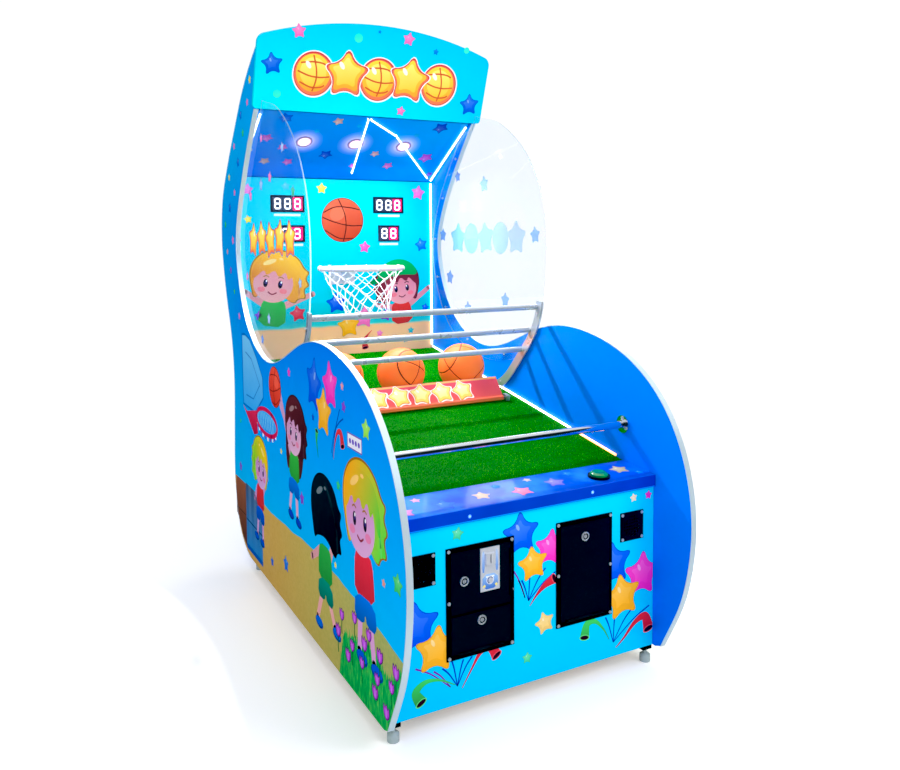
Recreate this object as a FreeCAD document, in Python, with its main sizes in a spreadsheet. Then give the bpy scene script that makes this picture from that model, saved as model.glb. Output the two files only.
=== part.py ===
import FreeCAD, Part
import math
import os
import Sketcher

# Compact basketball hoop machine: a plywood cabinet with two profiled sides,
# a sloped turf deck that returns the balls to a motor-driven gate, a backboard
# with a hoop, a leaning marquee, coin and service doors, and clear side windows.
# Frame: X to the machine's right seen from the front, Y to the rear, Z up,
# origin on the floor under the middle of the bounding box.
# The helpers take (x, y from the front panel's face, z from the side panels'
# lower edge); place() adds front_y and base_z to reach the frame. Millimetres.

Vector = FreeCAD.Vector
RIGHT, LEFT = (1, 0, 0), (-1, 0, 0)
REARWARD, FORWARD = (0, 1, 0), (0, -1, 0)
UP = (0, 0, 1)
SIDES = (-1, 1)  # left, right

DIMS = [
    ("front_y", -796.24), ("base_z", 55.0),
    ("inner_half", 470.0), ("panel_thick", 18.0), ("trim_depth", 2.5), ("trim_proud", 1.0),
    ("window_thick", 5.0), ("front_thick", 15.0), ("front_height", 526.0),
    ("shelf_back", 146.0), ("shelf_rise", 577.0),
    ("deck_angle", 9.257), ("deck_length", 1427.0), ("deck_thick", 15.0),
    ("turf_thick", 8.0), ("deck_half", 469.0),
    ("backboard_y", 1565.0), ("backboard_thick", 9.0),
    ("backboard_low", 800.0), ("backboard_high", 1602.0),
    ("ceiling_angle", 31.0), ("ceiling_length", 440.0),
    ("ceiling_thick", 12.0), ("ceiling_half", 463.0),
    ("marquee_angle", 19.5), ("marquee_half", 498.0), ("marquee_thick", 18.0),
    ("marquee_side", 270.0), ("marquee_top", 355.0),
    ("marquee_top_corner", 38.0), ("marquee_low_corner", 14.0),
    ("rear_y", 1576.0), ("rear_thick", 12.0),
    ("ring_radius", 176.0), ("ring_tube", 9.0), ("ring_y", 1316.0), ("ring_z", 1205.0),
    ("net_top_radius", 160.0), ("net_low_radius", 104.0), ("net_drop", 225.0), ("net_wall", 3.0),
    ("rail_radius", 11.0), ("upright_thick", 6.0), ("upright_width", 36.0),
    ("bar_radius", 12.5), ("bar_y", 149.0), ("bar_z", 699.0),
    ("flange_radius", 30.0), ("flange_thick", 6.0),
    ("coin_left", -290.0), ("coin_wide", 225.0), ("coin_low", 133.0), ("coin_tall", 325.0),
    ("serv_left", 86.0), ("serv_wide", 212.0), ("serv_low", 142.0), ("serv_tall", 326.0),
    ("frame_thick", 3.0), ("door_thick", 2.5), ("door_gap", 0.2),
    ("knuckle_radius", 3.0), ("pin_radius", 1.5), ("pin_clear", 0.05),
    ("lock_ring", 14.0), ("lock_body", 9.5), ("plug_radius", 6.0), ("plug_clear", 0.05),
    ("plate_wide", 64.0), ("plate_tall", 127.0), ("grille_side", 92.0), ("speaker_hole", 38.0),
    ("button_x", 285.0), ("button_y", 47.0), ("cap_radius", 28.5),
    ("bezel_radius", 35.0), ("button_angle", 4.06),
    ("gate_half", 386.0), ("gate_thick", 8.0), ("gate_reach", 95.0),
    ("gate_tail", 10.0), ("gate_angle", 51.6), ("shaft_radius", 5.0), ("hub_radius", 8.0),
    ("lever_arm", 50.0), ("lever_angle", 30.0), ("link_drop", 160.0),
    ("ball_radius", 95.0), ("ball_y", 946.4), ("ball_z", 803.85),
    ("foot_x", 450.0), ("foot_front", 14.0), ("foot_rear", 1380.0), ("foot_radius", 17.0),
    ("caster_x", 345.0), ("caster_y", 70.0), ("wheel_radius", 19.0), ("wheel_wide", 18.0),
    ("axle_radius", 4.0), ("rear_axle_y", 1330.0),
    ("screw_head", 5.0), ("screw_high", 2.6), ("screw_shank", 2.0),
]

doc = FreeCAD.newDocument("hoop_machine")
sheet = doc.addObject("Spreadsheet::Sheet", "dims")
for row, (name, value) in enumerate(DIMS, 1):
    sheet.set("A%d" % row, name)
    sheet.set("B%d" % row, str(value))
    sheet.setAlias("B%d" % row, name)
doc.recompute()

# ---------------------------------------------------------------- sheet expressions
OPERATIONS = {
    "+": lambda left, right: left + right,
    "-": lambda left, right: left - right,
    "*": lambda left, right: left * right,
    "/": lambda left, right: left / right,
}


class Expr:
    """A number that also carries the sheet expression it comes from."""

    def __init__(self, text, value):
        self.text = text
        self.value = float(value)

    def __add__(self, other):
        return combine(self, "+", other)

    def __sub__(self, other):
        return combine(self, "-", other)

    def __mul__(self, other):
        return combine(self, "*", other)

    def __truediv__(self, other):
        return combine(self, "/", other)

    def __radd__(self, other):
        return combine(other, "+", self)

    def __rsub__(self, other):
        return combine(other, "-", self)

    def __rmul__(self, other):
        return combine(other, "*", self)

    def __neg__(self):
        return combine(0, "-", self)


def as_expr(number):
    if isinstance(number, Expr):
        return number
    return Expr("(%s)" % repr(round(float(number), 6)), number)


def combine(left, sign, right):
    left, right = as_expr(left), as_expr(right)
    value = OPERATIONS[sign](left.value, right.value)
    return Expr("(%s %s %s)" % (left.text, sign, right.text), value)


class Dims:
    """Holds every driving dimension as an Expr."""


dim = Dims()
for name, value in DIMS:
    setattr(dim, name, Expr("dims." + name, value))

# ---------------------------------------------------------------- solid helpers
nodes = []


def bind(piece, prop, value):
    piece.setExpression(prop, as_expr(value).text)


def place(piece, x, y, z, turn=None):
    base = (as_expr(x), dim.front_y + y, dim.base_z + z)
    position = Vector(*[coordinate.value for coordinate in base])
    piece.Placement = FreeCAD.Placement(position, turn or FreeCAD.Rotation())
    for axis, coordinate in zip("xyz", base):
        bind(piece, "Placement.Base." + axis, coordinate)
    return piece


def add_node(piece, label):
    """Name a finished piece and list it for export."""
    piece.Label = label
    nodes.append(piece)
    return piece


def primitive(kind, x, y, z, turn=None, **sizes):
    piece = doc.addObject("Part::" + kind, kind.lower())
    for prop, value in sizes.items():
        bind(piece, prop, value)
    return place(piece, x, y, z, turn)


def box(x, y, z, length, width, height, turn=None):
    """Box with its low corner at (x, y, z); length, width, height lie along X, Y, Z."""
    return primitive("Box", x, y, z, turn, Length=length, Width=width, Height=height)


def toward(direction):
    return FreeCAD.Rotation(Vector(*UP), Vector(*direction))


def cyl(x, y, z, radius, length, direction=UP):
    """Cylinder from (x, y, z) along direction."""
    return primitive("Cylinder", x, y, z, toward(direction), Radius=radius, Height=length)


def cone(x, y, z, radius1, radius2, length, direction=UP):
    return primitive("Cone", x, y, z, toward(direction),
                     Radius1=radius1, Radius2=radius2, Height=length)


def rod(start, end, radius):
    run = Vector(*end) - Vector(*start)
    return cyl(*start, radius, run.Length, run)


def fuse(*parts):
    piece = doc.addObject("Part::MultiFuse", "fuse")
    piece.Shapes = list(parts)
    return piece


def group(*parts):
    piece = doc.addObject("Part::Compound", "group")
    piece.Links = list(parts)
    return piece


def cut(base, *tools):
    piece = doc.addObject("Part::Cut", "cut")
    piece.Base = base
    piece.Tool = tools[0] if len(tools) == 1 else fuse(*tools)
    return piece


def about_x(angle):
    return FreeCAD.Rotation(Vector(1, 0, 0), angle.value)


def tilted(origin_y, origin_z, turn):
    """Function giving the (y, z) of a point (along, out) in a frame turned about X."""
    def point(along, out):
        offset = turn.multVec(Vector(0, along, out))
        return (origin_y + offset.y, origin_z + offset.z)
    return point


# ---------------------------------------------------------------- sketch helpers
def new_body(label):
    return add_node(doc.addObject("PartDesign::Body", label), label)


def new_sketch(body, role):
    sketch = body.newObject("Sketcher::SketchObject", body.Name + "_sketch")
    for plane in body.Origin.OriginFeatures:
        if plane.Role == role:
            sketch.AttachmentSupport = [(plane, "")]
    sketch.MapMode = "FlatFace"
    return sketch


def drive(sketch, kind, elements, value):
    """Add a dimension constraint and bind it to the sheet."""
    index = sketch.addConstraint(Sketcher.Constraint(kind, *elements, value.value))
    sketch.setExpression("Constraints[%d]" % index, value.text)


def line(start, end):
    return Part.LineSegment(Vector(*start, 0), Vector(*end, 0))


def sketch_lines(sketch, points):
    for start, end in zip(points, points[1:]):
        sketch.addGeometry(line(start, end), False)


def sketch_rect(sketch, x, y, width, height):
    """Driven rectangle with its low corner at (x, y)."""
    x, y, width, height = map(as_expr, (x, y, width, height))
    left, low = x.value, y.value
    right, high = left + width.value, low + height.value
    corners = [(left, low), (right, low), (right, high), (left, high)]
    first = sketch.GeometryCount
    sketch.addGeometry([line(corners[k], corners[(k + 1) % 4]) for k in range(4)], False)
    for k in range(4):
        sketch.addConstraint(
            Sketcher.Constraint("Coincident", first + k, 2, first + (k + 1) % 4, 1))
    for k, kind in ((0, "Horizontal"), (2, "Horizontal"), (1, "Vertical"), (3, "Vertical")):
        sketch.addConstraint(Sketcher.Constraint(kind, first + k))
    drive(sketch, "DistanceX", (-1, 1, first, 1), x)
    drive(sketch, "DistanceY", (-1, 1, first, 1), y)
    drive(sketch, "DistanceX", (first, 1, first, 2), width)
    drive(sketch, "DistanceY", (first + 1, 1, first + 1, 2), height)


def sketch_circle(sketch, x, y, radius):
    x, y, radius = map(as_expr, (x, y, radius))
    circle = Part.Circle(Vector(x.value, y.value, 0), Vector(*UP), radius.value)
    index = sketch.addGeometry(circle, False)
    drive(sketch, "DistanceX", (-1, 1, index, 3), x)
    drive(sketch, "DistanceY", (-1, 1, index, 3), y)
    drive(sketch, "Radius", (index,), radius)


def pad(body, sketch, length, reverse=False, middle=False):
    feature = body.newObject("PartDesign::Pad", body.Name + "_pad")
    feature.Profile = sketch
    if middle:
        feature.Midplane = True
    feature.Reversed = reverse
    bind(feature, "Length", length)
    body.Tip = feature


def pocket(body, sketch, depth, reverse=False):
    feature = body.newObject("PartDesign::Pocket", body.Name + "_pocket")
    feature.Profile = sketch
    feature.Reversed = reverse
    bind(feature, "Length", depth)
    body.Tip = feature


# ---------------------------------------------------------------- curve helpers
def spline(points):
    curve = Part.BSplineCurve()
    curve.interpolate([Vector(*point, 0) for point in points])
    return curve


def shifted(points, distance, count):
    """Points of the spline through points, moved to the right of its travel."""
    curve = spline(points)
    first, last = curve.FirstParameter, curve.LastParameter
    moved = []
    for k in range(count):
        parameter = first + (last - first) * k / (count - 1.0)
        point = curve.value(parameter)
        heading = curve.tangent(parameter)[0]
        moved.append((point.x + distance * heading.y, point.y - distance * heading.x))
    return moved


def band(x, outer, inner, width):
    """Solid between two splines of (y, z) points, from x for width along X."""
    edges = [spline(outer).toShape(), line(outer[-1], inner[-1]).toShape(),
             spline(inner).toShape(), line(inner[0], outer[0]).toShape()]
    wire = Part.Wire(Part.sortEdges(edges)[0])
    wire.rotate(Vector(0, 0, 0), Vector(1, 1, 1), 120)
    piece = doc.addObject("Part::Feature", "band")
    piece.Shape = Part.Face(wire).extrude(Vector(width.value, 0, 0))
    return place(piece, x, 0, 0)


# ---------------------------------------------------------------- side panels and trim
# (y, z) of the front edge, upward from the lower front corner.
FRONT_EDGE = [
    (-38, 8), (-72, 72), (-127, 187), (-160, 315), (-170, 445), (-151, 580), (-108, 695),
    (-40, 797), (70, 893), (190, 953), (330, 990), (480, 1004), (630, 985), (780, 936),
    (922, 888), (1040, 869), (1140, 879), (1246, 916), (1350, 984), (1425, 1070),
    (1478, 1174), (1505, 1310), (1458, 1454), (1370, 1590), (1267, 1720), (1170, 1829),
]
# (y, z) of the rear edge, downward from the top.
REAR_EDGE = [
    (1094, 2072), (1190, 2024), (1284, 1967), (1380, 1893), (1471, 1806), (1561, 1718),
    (1650, 1622), (1725, 1520), (1757, 1420), (1763, 1327), (1738, 1195), (1688, 1055),
    (1630, 925), (1600, 800), (1594, 700), (1604, 560), (1620, 400), (1622, 290),
    (1604, 200), (1565, 105), (1510, 48), (1443, 14), (1380, 0),
]
front_inset = shifted(FRONT_EDGE, dim.trim_depth.value, 70)
rear_inset = shifted(REAR_EDGE, dim.trim_depth.value, 60)


def side_panel(label, x):
    body = new_body(label)
    sketch = new_sketch(body, "YZ_Plane")
    sketch.addGeometry(spline(front_inset), False)
    sketch_lines(sketch, [front_inset[-1], rear_inset[0]])
    sketch.addGeometry(spline(rear_inset), False)
    sketch_lines(sketch, [rear_inset[-1], (1376, 0), (-12, 0), front_inset[0]])
    pad(body, sketch, dim.panel_thick)
    place(body, x, 0, 0)


def edge_trim(label, x):
    """Strips along the front and rear edges of one side panel."""
    width = dim.panel_thick + dim.trim_proud
    add_node(group(band(x, FRONT_EDGE, front_inset, width),
                   band(x, REAR_EDGE, rear_inset, width)), label)


side_panel("side_panel_right", dim.inner_half)
side_panel("side_panel_left", -(dim.inner_half + dim.panel_thick))
edge_trim("edge_trim_right", dim.inner_half)
edge_trim("edge_trim_left", -(dim.inner_half + dim.panel_thick + dim.trim_proud))

# ---------------------------------------------------------------- side windows
# Clear ovals on the inner faces of the sides, as (y, z) points: the front
# run goes down from the top to the lower front, the rear run from there back up.
WINDOW_FRONT = [
    (1134, 1858), (1070, 1842), (962, 1814), (871, 1768), (784, 1706), (721, 1645),
    (670, 1575), (631, 1503), (606, 1424), (594, 1340), (592, 1257), (598, 1173),
    (612, 1088), (640, 1005), (684, 930), (740, 872),
]
WINDOW_REAR = [
    (740, 872), (860, 830), (1000, 812), (1140, 822), (1262, 856), (1385, 928),
    (1470, 1030), (1530, 1160), (1548, 1310), (1500, 1470), (1410, 1610), (1296, 1750),
]


def side_window(label, x):
    body = new_body(label)
    sketch = new_sketch(body, "YZ_Plane")
    sketch.addGeometry(spline(WINDOW_FRONT), False)
    sketch.addGeometry(spline(WINDOW_REAR), False)
    sketch_lines(sketch, [WINDOW_REAR[-1], (1226, 1800), (1160, 1800), WINDOW_FRONT[0]])
    pad(body, sketch, dim.window_thick)
    place(body, x, 0, 0)


window_face = dim.inner_half - dim.window_thick
side_window("side_window_right", window_face)
side_window("side_window_left", -dim.inner_half)

# ---------------------------------------------------------------- front panel and shelf
# Cross boards leave 0.5 to each side panel.
board_half = dim.inner_half - 0.5
board_width = 2 * board_half
COIN_FRAME = (dim.coin_left, dim.coin_low, dim.coin_wide, dim.coin_tall)
SERVICE_FRAME = (dim.serv_left, dim.serv_low, dim.serv_wide, dim.serv_tall)
FRAME_LAP = 12  # door frame's overlap on the panel
SPEAKER_XS = (-369, 379)
SPEAKER_Z = 411
BUTTON_HOLE = 17.2
# (y, z) section of the shelf.
SHELF_SECTION = [
    (-9, 526.2), (-9, 563), (-6, 566.2), (dim.shelf_back.value, dim.shelf_rise.value),
    (dim.shelf_back.value, 559), (9, 549), (9, 526.2), (-9, 526.2),
]


def front_panel():
    body = new_body("front_panel")
    sketch = new_sketch(body, "XZ_Plane")
    sketch_rect(sketch, -board_half, 0, board_width, dim.front_height)
    for left, low, wide, tall in (COIN_FRAME, SERVICE_FRAME):
        sketch_rect(sketch, left + FRAME_LAP, low + FRAME_LAP,
                    wide - 2 * FRAME_LAP, tall - 2 * FRAME_LAP)
    for x in SPEAKER_XS:
        sketch_circle(sketch, x, SPEAKER_Z, dim.speaker_hole)
    pad(body, sketch, dim.front_thick, reverse=True)
    place(body, 0, 0, 0)


def front_shelf():
    body = new_body("front_shelf")
    sketch = new_sketch(body, "YZ_Plane")
    sketch_lines(sketch, SHELF_SECTION)
    pad(body, sketch, board_width, middle=True)
    hole = new_sketch(body, "XY_Plane")
    sketch_circle(hole, dim.button_x, dim.button_y, BUTTON_HOLE)
    pocket(body, hole, 700, reverse=True)
    place(body, 0, 0, 0)


front_panel()
front_shelf()

# ---------------------------------------------------------------- start button
# Bezel with a sleeve, and a cap whose stem travels inside it.
BUTTON_SEAT_Z = 570.2
SLEEVE_RADIUS = 14.6
STEM_RADIUS = 10
button_turn = about_x(dim.button_angle)
button_axis = button_turn.multVec(Vector(*UP))
button_point = tilted(dim.button_y, BUTTON_SEAT_Z, button_turn)


def button_cyl(distance, radius, length):
    """Cylinder on the button's axis, starting at a distance above its seat."""
    return cyl(dim.button_x, *button_point(0, distance), radius, length, button_axis)


add_node(cut(fuse(button_cyl(0.3, dim.bezel_radius, 7), button_cyl(-30, SLEEVE_RADIUS, 31)),
             button_cyl(3, dim.cap_radius + 0.6, 10),
             button_cyl(-31, STEM_RADIUS + 0.05, 40)), "button_bezel")
add_node(fuse(button_cyl(6.6, dim.cap_radius, 6), button_cyl(-26, STEM_RADIUS, 34),
              cone(dim.button_x, *button_point(0, 12.6),
                   dim.cap_radius, dim.cap_radius - 7, 5, button_axis)), "start_button_cap")

# ---------------------------------------------------------------- deck and turf
# deck_point(along, out): along the turf from the shelf's rear edge, out above it.
deck_turn = about_x(dim.deck_angle)
deck_point = tilted(dim.shelf_back.value, dim.shelf_rise.value, deck_turn)
DECK_START = 2
LEVER_SLOT = (-438, 636, 26, 92)  # x, along, width, length


def deck_board(label, depth, thick):
    """Board whose top lies at depth below the turf's surface."""
    body = new_body(label)
    sketch = new_sketch(body, "XY_Plane")
    sketch_rect(sketch, -dim.deck_half, DECK_START,
                2 * dim.deck_half, dim.deck_length - DECK_START)
    sketch_rect(sketch, *LEVER_SLOT)
    pad(body, sketch, thick, reverse=True)
    place(body, 0, *deck_point(0, -depth), deck_turn)


deck_board("turf_mat", 0, dim.turf_thick)
deck_board("play_deck", dim.turf_thick.value + 0.02, dim.deck_thick)

# ---------------------------------------------------------------- floor and back cover
FLOOR_LENGTH, FLOOR_THICK = 1400, 15
COVER_INSET, COVER_THICK = 9, 5
COVER_LOW = 712

add_node(box(-board_half, dim.front_thick + 0.2, 0, board_width, FLOOR_LENGTH, FLOOR_THICK),
         "floor_panel")
# Curved cover inside the sides' rear edge, down to the rear panel.
cover_faces = [[point for point in shifted(REAR_EDGE, inset, 60) if point[1] > COVER_LOW]
               for inset in (COVER_INSET, COVER_INSET + COVER_THICK)]
add_node(band(-board_half, *cover_faces, board_width), "back_cover")

# ---------------------------------------------------------------- backboard and displays
DISPLAYS = [  # x, z, width, height
    (-320, 1452, 154, 75), (-291, 1320, 125, 75), (165, 1452, 154, 75), (189, 1320, 108, 75),
]
BOLT_XS = (-45, 51)
BOLT_Z = 1158
BOLT_HOLE = 4.2


def backboard():
    body = new_body("backboard")
    sketch = new_sketch(body, "XZ_Plane")
    sketch_rect(sketch, -board_half, dim.backboard_low,
                board_width, dim.backboard_high - dim.backboard_low)
    for opening in DISPLAYS:
        sketch_rect(sketch, *opening)
    for x in BOLT_XS:
        sketch_circle(sketch, x, BOLT_Z, BOLT_HOLE)
    pad(body, sketch, dim.backboard_thick, reverse=True)
    place(body, 0, dim.backboard_y, 0)


def score_display(x, z, width, height):
    """Display in its opening, with a recessed face inside a border."""
    gap, border = 0.3, 8
    front = dim.backboard_y - 3
    return cut(box(x + gap, front, z + gap, width - 2 * gap, 30, height - 2 * gap),
               box(x + border, front - 1, z + border, width - 2 * border, 3, height - 2 * border))


backboard()
add_node(group(*[score_display(*opening) for opening in DISPLAYS]), "score_displays")

# ---------------------------------------------------------------- ceiling
CEILING_Y, CEILING_Z = 1183, 1831
LAMPS = [(-236, 182), (-9, 180), (218, 180)]  # x, along the ceiling
LAMP_HOLE = 30
ceiling_turn = about_x(-dim.ceiling_angle)
ceiling_up = ceiling_turn.multVec(Vector(*UP))
ceiling_point = tilted(CEILING_Y, CEILING_Z, ceiling_turn)


def ceiling_panel():
    body = new_body("ceiling_panel")
    sketch = new_sketch(body, "XY_Plane")
    sketch_rect(sketch, -dim.ceiling_half, 0, 2 * dim.ceiling_half, dim.ceiling_length)
    for x, along in LAMPS:
        sketch_circle(sketch, x, along, LAMP_HOLE)
    pad(body, sketch, dim.ceiling_thick)
    place(body, 0, CEILING_Y, CEILING_Z, ceiling_turn)


def ceiling_lamp(x, along):
    """Rim under the ceiling and a can through it."""
    start = (x, *ceiling_point(along, -3))
    return fuse(cyl(*start, 35, 2.8, ceiling_up), cyl(*start, LAMP_HOLE - 0.4, 40, ceiling_up))


ceiling_panel()
add_node(group(*[ceiling_lamp(*lamp) for lamp in LAMPS]), "ceiling_lights")


# ---------------------------------------------------------------- marquee
def arc(x, y, radius, start, end):
    """Arc about (x, y) between two angles in radians."""
    return Part.Arc(*[Vector(x + radius * math.cos(angle), y + radius * math.sin(angle), 0)
                      for angle in (start, (start + end) / 2, end)])


def marquee_panel():
    """Leaning board with an arched top tangent to its two top corners."""
    body = new_body("marquee_panel")
    sketch = new_sketch(body, "XZ_Plane")
    half, side, top = dim.marquee_half.value, dim.marquee_side.value, dim.marquee_top.value
    corner, low = dim.marquee_top_corner.value, dim.marquee_low_corner.value
    arch = ((top - side) ** 2 + half ** 2) / (2 * (top - side))
    arch_z = top - arch
    corner_x = half - corner
    corner_rise = math.sqrt((arch - corner) ** 2 - corner_x ** 2)
    corner_z = arch_z + corner_rise
    reach = arch / (arch - corner)
    joint_x, joint_z = corner_x * reach, arch_z + corner_rise * reach
    joint_angle = math.atan2(corner_rise, corner_x)
    quarter = math.pi / 2
    for piece in (
        line((-half + low, 0), (half - low, 0)),
        arc(half - low, low, low, -quarter, 0),
        line((half, low), (half, corner_z)),
        arc(corner_x, corner_z, corner, 0, joint_angle),
        Part.Arc(Vector(joint_x, joint_z, 0), Vector(0, top, 0), Vector(-joint_x, joint_z, 0)),
        arc(-corner_x, corner_z, corner, math.pi - joint_angle, math.pi),
        line((-half, corner_z), (-half, low)),
        arc(-half + low, low, low, math.pi, math.pi + quarter),
    ):
        sketch.addGeometry(piece, False)
    pad(body, sketch, dim.marquee_thick, reverse=True)
    place(body, 0, 1150, 1829, about_x(dim.marquee_angle))


marquee_panel()

# ---------------------------------------------------------------- hoop
BRACKET_Y = 1558  # front face of the bracket's plate
RING_CUT_Z = 1150


def ring_cutter(radius):
    return cyl(0, dim.ring_y, RING_CUT_Z, radius, 100)


def hoop_net():
    """Net turned about the ring's axis, bending at 0.62 of its drop."""
    body = new_body("hoop_net")
    sketch = new_sketch(body, "XZ_Plane")
    top, low = dim.net_top_radius.value, dim.net_low_radius.value
    drop, wall = dim.net_drop.value, dim.net_wall.value
    bend, bend_z = low + 14, -drop * 0.62
    sketch_lines(sketch, [(top, 0), (top + wall, 0), (bend + wall, bend_z), (low + wall, -drop),
                          (low, -drop), (bend, bend_z), (top, 0)])
    turning = body.newObject("PartDesign::Revolution", "hoop_net_turn")
    turning.Profile = sketch
    turning.ReferenceAxis = (sketch, ["V_Axis"])
    turning.Angle = 360
    body.Tip = turning
    place(body, 0, dim.ring_y, dim.ring_z - dim.ring_tube - 3)


add_node(cut(fuse(box(-59, BRACKET_Y, 1127, 124, 6.8, 63),
                  box(2, 1490, 1176, 24, 70, 28),
                  box(2, 1536, 1150, 24, 24, 30)),
             *[cyl(x, BRACKET_Y - 8, BOLT_Z, BOLT_HOLE, 20, REARWARD) for x in BOLT_XS],
             ring_cutter(dim.ring_radius + dim.ring_tube + 0.2)), "hoop_bracket")
# Ring with a tab into the bracket; the bore takes 2 off the tube's inner side.
ring = primitive("Torus", 0, dim.ring_y, dim.ring_z,
                 Radius1=dim.ring_radius, Radius2=dim.ring_tube)
add_node(cut(fuse(ring, box(4, 1470, 1195, 20, 29.4, 6)),
             ring_cutter(dim.ring_radius - dim.ring_tube + 2)), "hoop_ring")
hoop_net()

# ---------------------------------------------------------------- guard
# (y, z) of the uprights' centre line, upward, and of the cross rails.
UPRIGHT_PATH = [(944, 716), (890, 745), (786, 842), (714, 918), (655, 1005), (634, 1084)]
RAILS = [(656, 1062), (708, 968), (766, 884)]
upright_outer = window_face - 0.5
upright_inner = upright_outer - dim.upright_thick


def upright(x):
    half = dim.upright_width.value / 2
    strip = band(x, shifted(UPRIGHT_PATH, -half, 25), shifted(UPRIGHT_PATH, half, 25),
                 dim.upright_thick)
    # The foot stops above the turf and the edge light.
    return cut(strip, box(x - 1, *deck_point(600, -60),
                          dim.upright_thick + 2, 400, 69, deck_turn))


add_node(group(upright(upright_inner), upright(-upright_outer)), "guard_uprights")
rail_half = upright_inner - 0.1
add_node(group(*[cyl(-rail_half, y, z, dim.rail_radius, 2 * rail_half, RIGHT)
                 for y, z in RAILS]), "guard_rails")

# ---------------------------------------------------------------- hand bar
bar_half = dim.inner_half - dim.flange_thick
flange_face = bar_half + 0.05


def bar_flange(side):
    """Wall flange with a collar around the bar's end."""
    def bar_cyl(x, radius, length):
        return cyl(side * x, dim.bar_y, dim.bar_z, radius, length, (side, 0, 0))
    return fuse(bar_cyl(flange_face, dim.flange_radius, dim.flange_thick - 0.1),
                cut(bar_cyl(bar_half - 8, dim.bar_radius + 5, 9),
                    bar_cyl(bar_half - 9, dim.bar_radius, 9.05)))


add_node(cyl(-bar_half, dim.bar_y, dim.bar_z, dim.bar_radius, 2 * bar_half, RIGHT), "hand_bar")
add_node(group(bar_flange(1), bar_flange(-1)), "bar_flanges")

# ---------------------------------------------------------------- front doors
# Flange frames with overlay doors on three-knuckle hinges.
door_face = -dim.frame_thick - dim.door_gap - dim.door_thick
hinge_y = -dim.frame_thick - dim.door_gap - dim.knuckle_radius
HINGE_INSET = 20  # hinge's distance from the door's corners
KNUCKLE_GAP = 0.5
COIN_LOCK = (-234, 358)  # x, z of each lock
CASH_LOCK = (-177, 234)
SERVICE_LOCK = (191, 412)
ACCEPTOR_X = -150


def knuckles(start, span, direction):
    """Hinge pin, the two end knuckles, the middle knuckle, its bore, and a third of span."""
    third = span / 3.0

    def along(distance, radius, length):
        point = [base + distance * step for base, step in zip(start, direction)]
        return cyl(*point, radius, length, direction)

    pin = along(0, dim.pin_radius, span)
    ends = [along(distance, dim.knuckle_radius, third - KNUCKLE_GAP)
            for distance in (0, 2 * third + KNUCKLE_GAP)]
    middle = along(third, dim.knuckle_radius, third)
    bore = along(third - 1, dim.pin_radius + dim.pin_clear, third + 2)
    return pin, ends, middle, bore, third


def lock_barrel(x, z):
    """Ring outside the door and a sleeve through it."""
    return fuse(cyl(x, door_face - 3, z, dim.lock_ring, 3.2, REARWARD),
                cyl(x, door_face - 1, z, dim.lock_body, 20, REARWARD))


def lock_bore(x, z):
    return cyl(x, door_face - 5, z, dim.plug_radius + dim.plug_clear, 40, REARWARD)


def front_door(label, x, z, width, height, hinge_side, lock, *openings):
    """Make one door; return its hinge pieces that belong to the frame."""
    plate = box(x, door_face, z, width, dim.door_thick, height)
    offset = dim.knuckle_radius.value * 0.4
    if hinge_side == "right":
        hinge_x = x + width + offset
        start = (hinge_x, hinge_y, z + HINGE_INSET)
        pin, ends, middle, bore, third = knuckles(start, height - 2 * HINGE_INSET, UP)
    else:
        hinge_z = z - offset
        start = (x + HINGE_INSET, hinge_y, hinge_z)
        pin, ends, middle, bore, third = knuckles(start, width - 2 * HINGE_INSET, RIGHT)
    tabs, notches = [], []
    for distance in (HINGE_INSET, HINGE_INSET + 2 * third + KNUCKLE_GAP):
        if hinge_side == "right":
            tabs.append(box(hinge_x - 1, hinge_y, z + distance, 9, 3.4, third - KNUCKLE_GAP))
            notches.append(box(x + width - 3, -12, z + distance - 1, 20, 8.79, third + 1))
        else:
            tabs.append(box(x + distance, hinge_y, hinge_z - 8, third - KNUCKLE_GAP, 3.4, 9))
            notches.append(box(x + distance - 1, -12, z - 17, third + 1, 8.79, 20))
    solid = fuse(plate, middle, lock_barrel(*lock))
    add_node(cut(solid, bore, *notches, *openings, lock_bore(*lock)), label)
    return ends + tabs + [pin]


def door_frame(label, outline, openings, hinge_pieces):
    """Frame with (x, z, width, height) openings and its share of the hinges."""
    left, low, wide, tall = outline
    plate = box(left, -dim.frame_thick, low, wide, dim.frame_thick, tall)
    tools = [box(x, -10, z, width, 20, height) for x, z, width, height in openings]
    add_node(fuse(cut(plate, *tools), *hinge_pieces), label)


def lock_cam(label, x, z, reach, direction):
    """Key plug with its keyway and the cam behind the door."""
    plug = cut(cyl(x, door_face - 2.5, z, dim.plug_radius, 22.2, REARWARD),
               box(x - 1, door_face - 3, z - 4, 2, 4, 8))
    cam_y = door_face + 19.7
    if direction == "down":
        cam = box(x - 6, cam_y, z - reach, 12, 2.5, reach + 6)
    else:
        cam = box(x - 6, cam_y, z - 6, reach + 6, 2.5, 12)
    add_node(fuse(plug, cam), label)


# The acceptor's body passes through this opening in the coin door.
acceptor_opening = box(ACCEPTOR_X - 26, -12, 322, 52, 20, 113)
coin_hinges = front_door("coin_door", -276, 266, 196, 178, "right", COIN_LOCK, acceptor_opening)
coin_hinges += front_door("cash_door", -276, 150, 196, 108, "bottom", CASH_LOCK)
door_frame("coin_door_frame", COIN_FRAME, [(-268, 276, 181, 160), (-268, 155, 181, 95)],
           coin_hinges)
service_hinge = front_door("service_door", 100, 160, 184, 295, "bottom", SERVICE_LOCK)
door_frame("service_door_frame", SERVICE_FRAME, [(108, 168, 168, 280)], service_hinge)
lock_cam("coin_lock_cam", *COIN_LOCK, 42, "down")
lock_cam("cash_lock_cam", *CASH_LOCK, 24, "right")
lock_cam("service_lock_cam", *SERVICE_LOCK, 42, "right")

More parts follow.
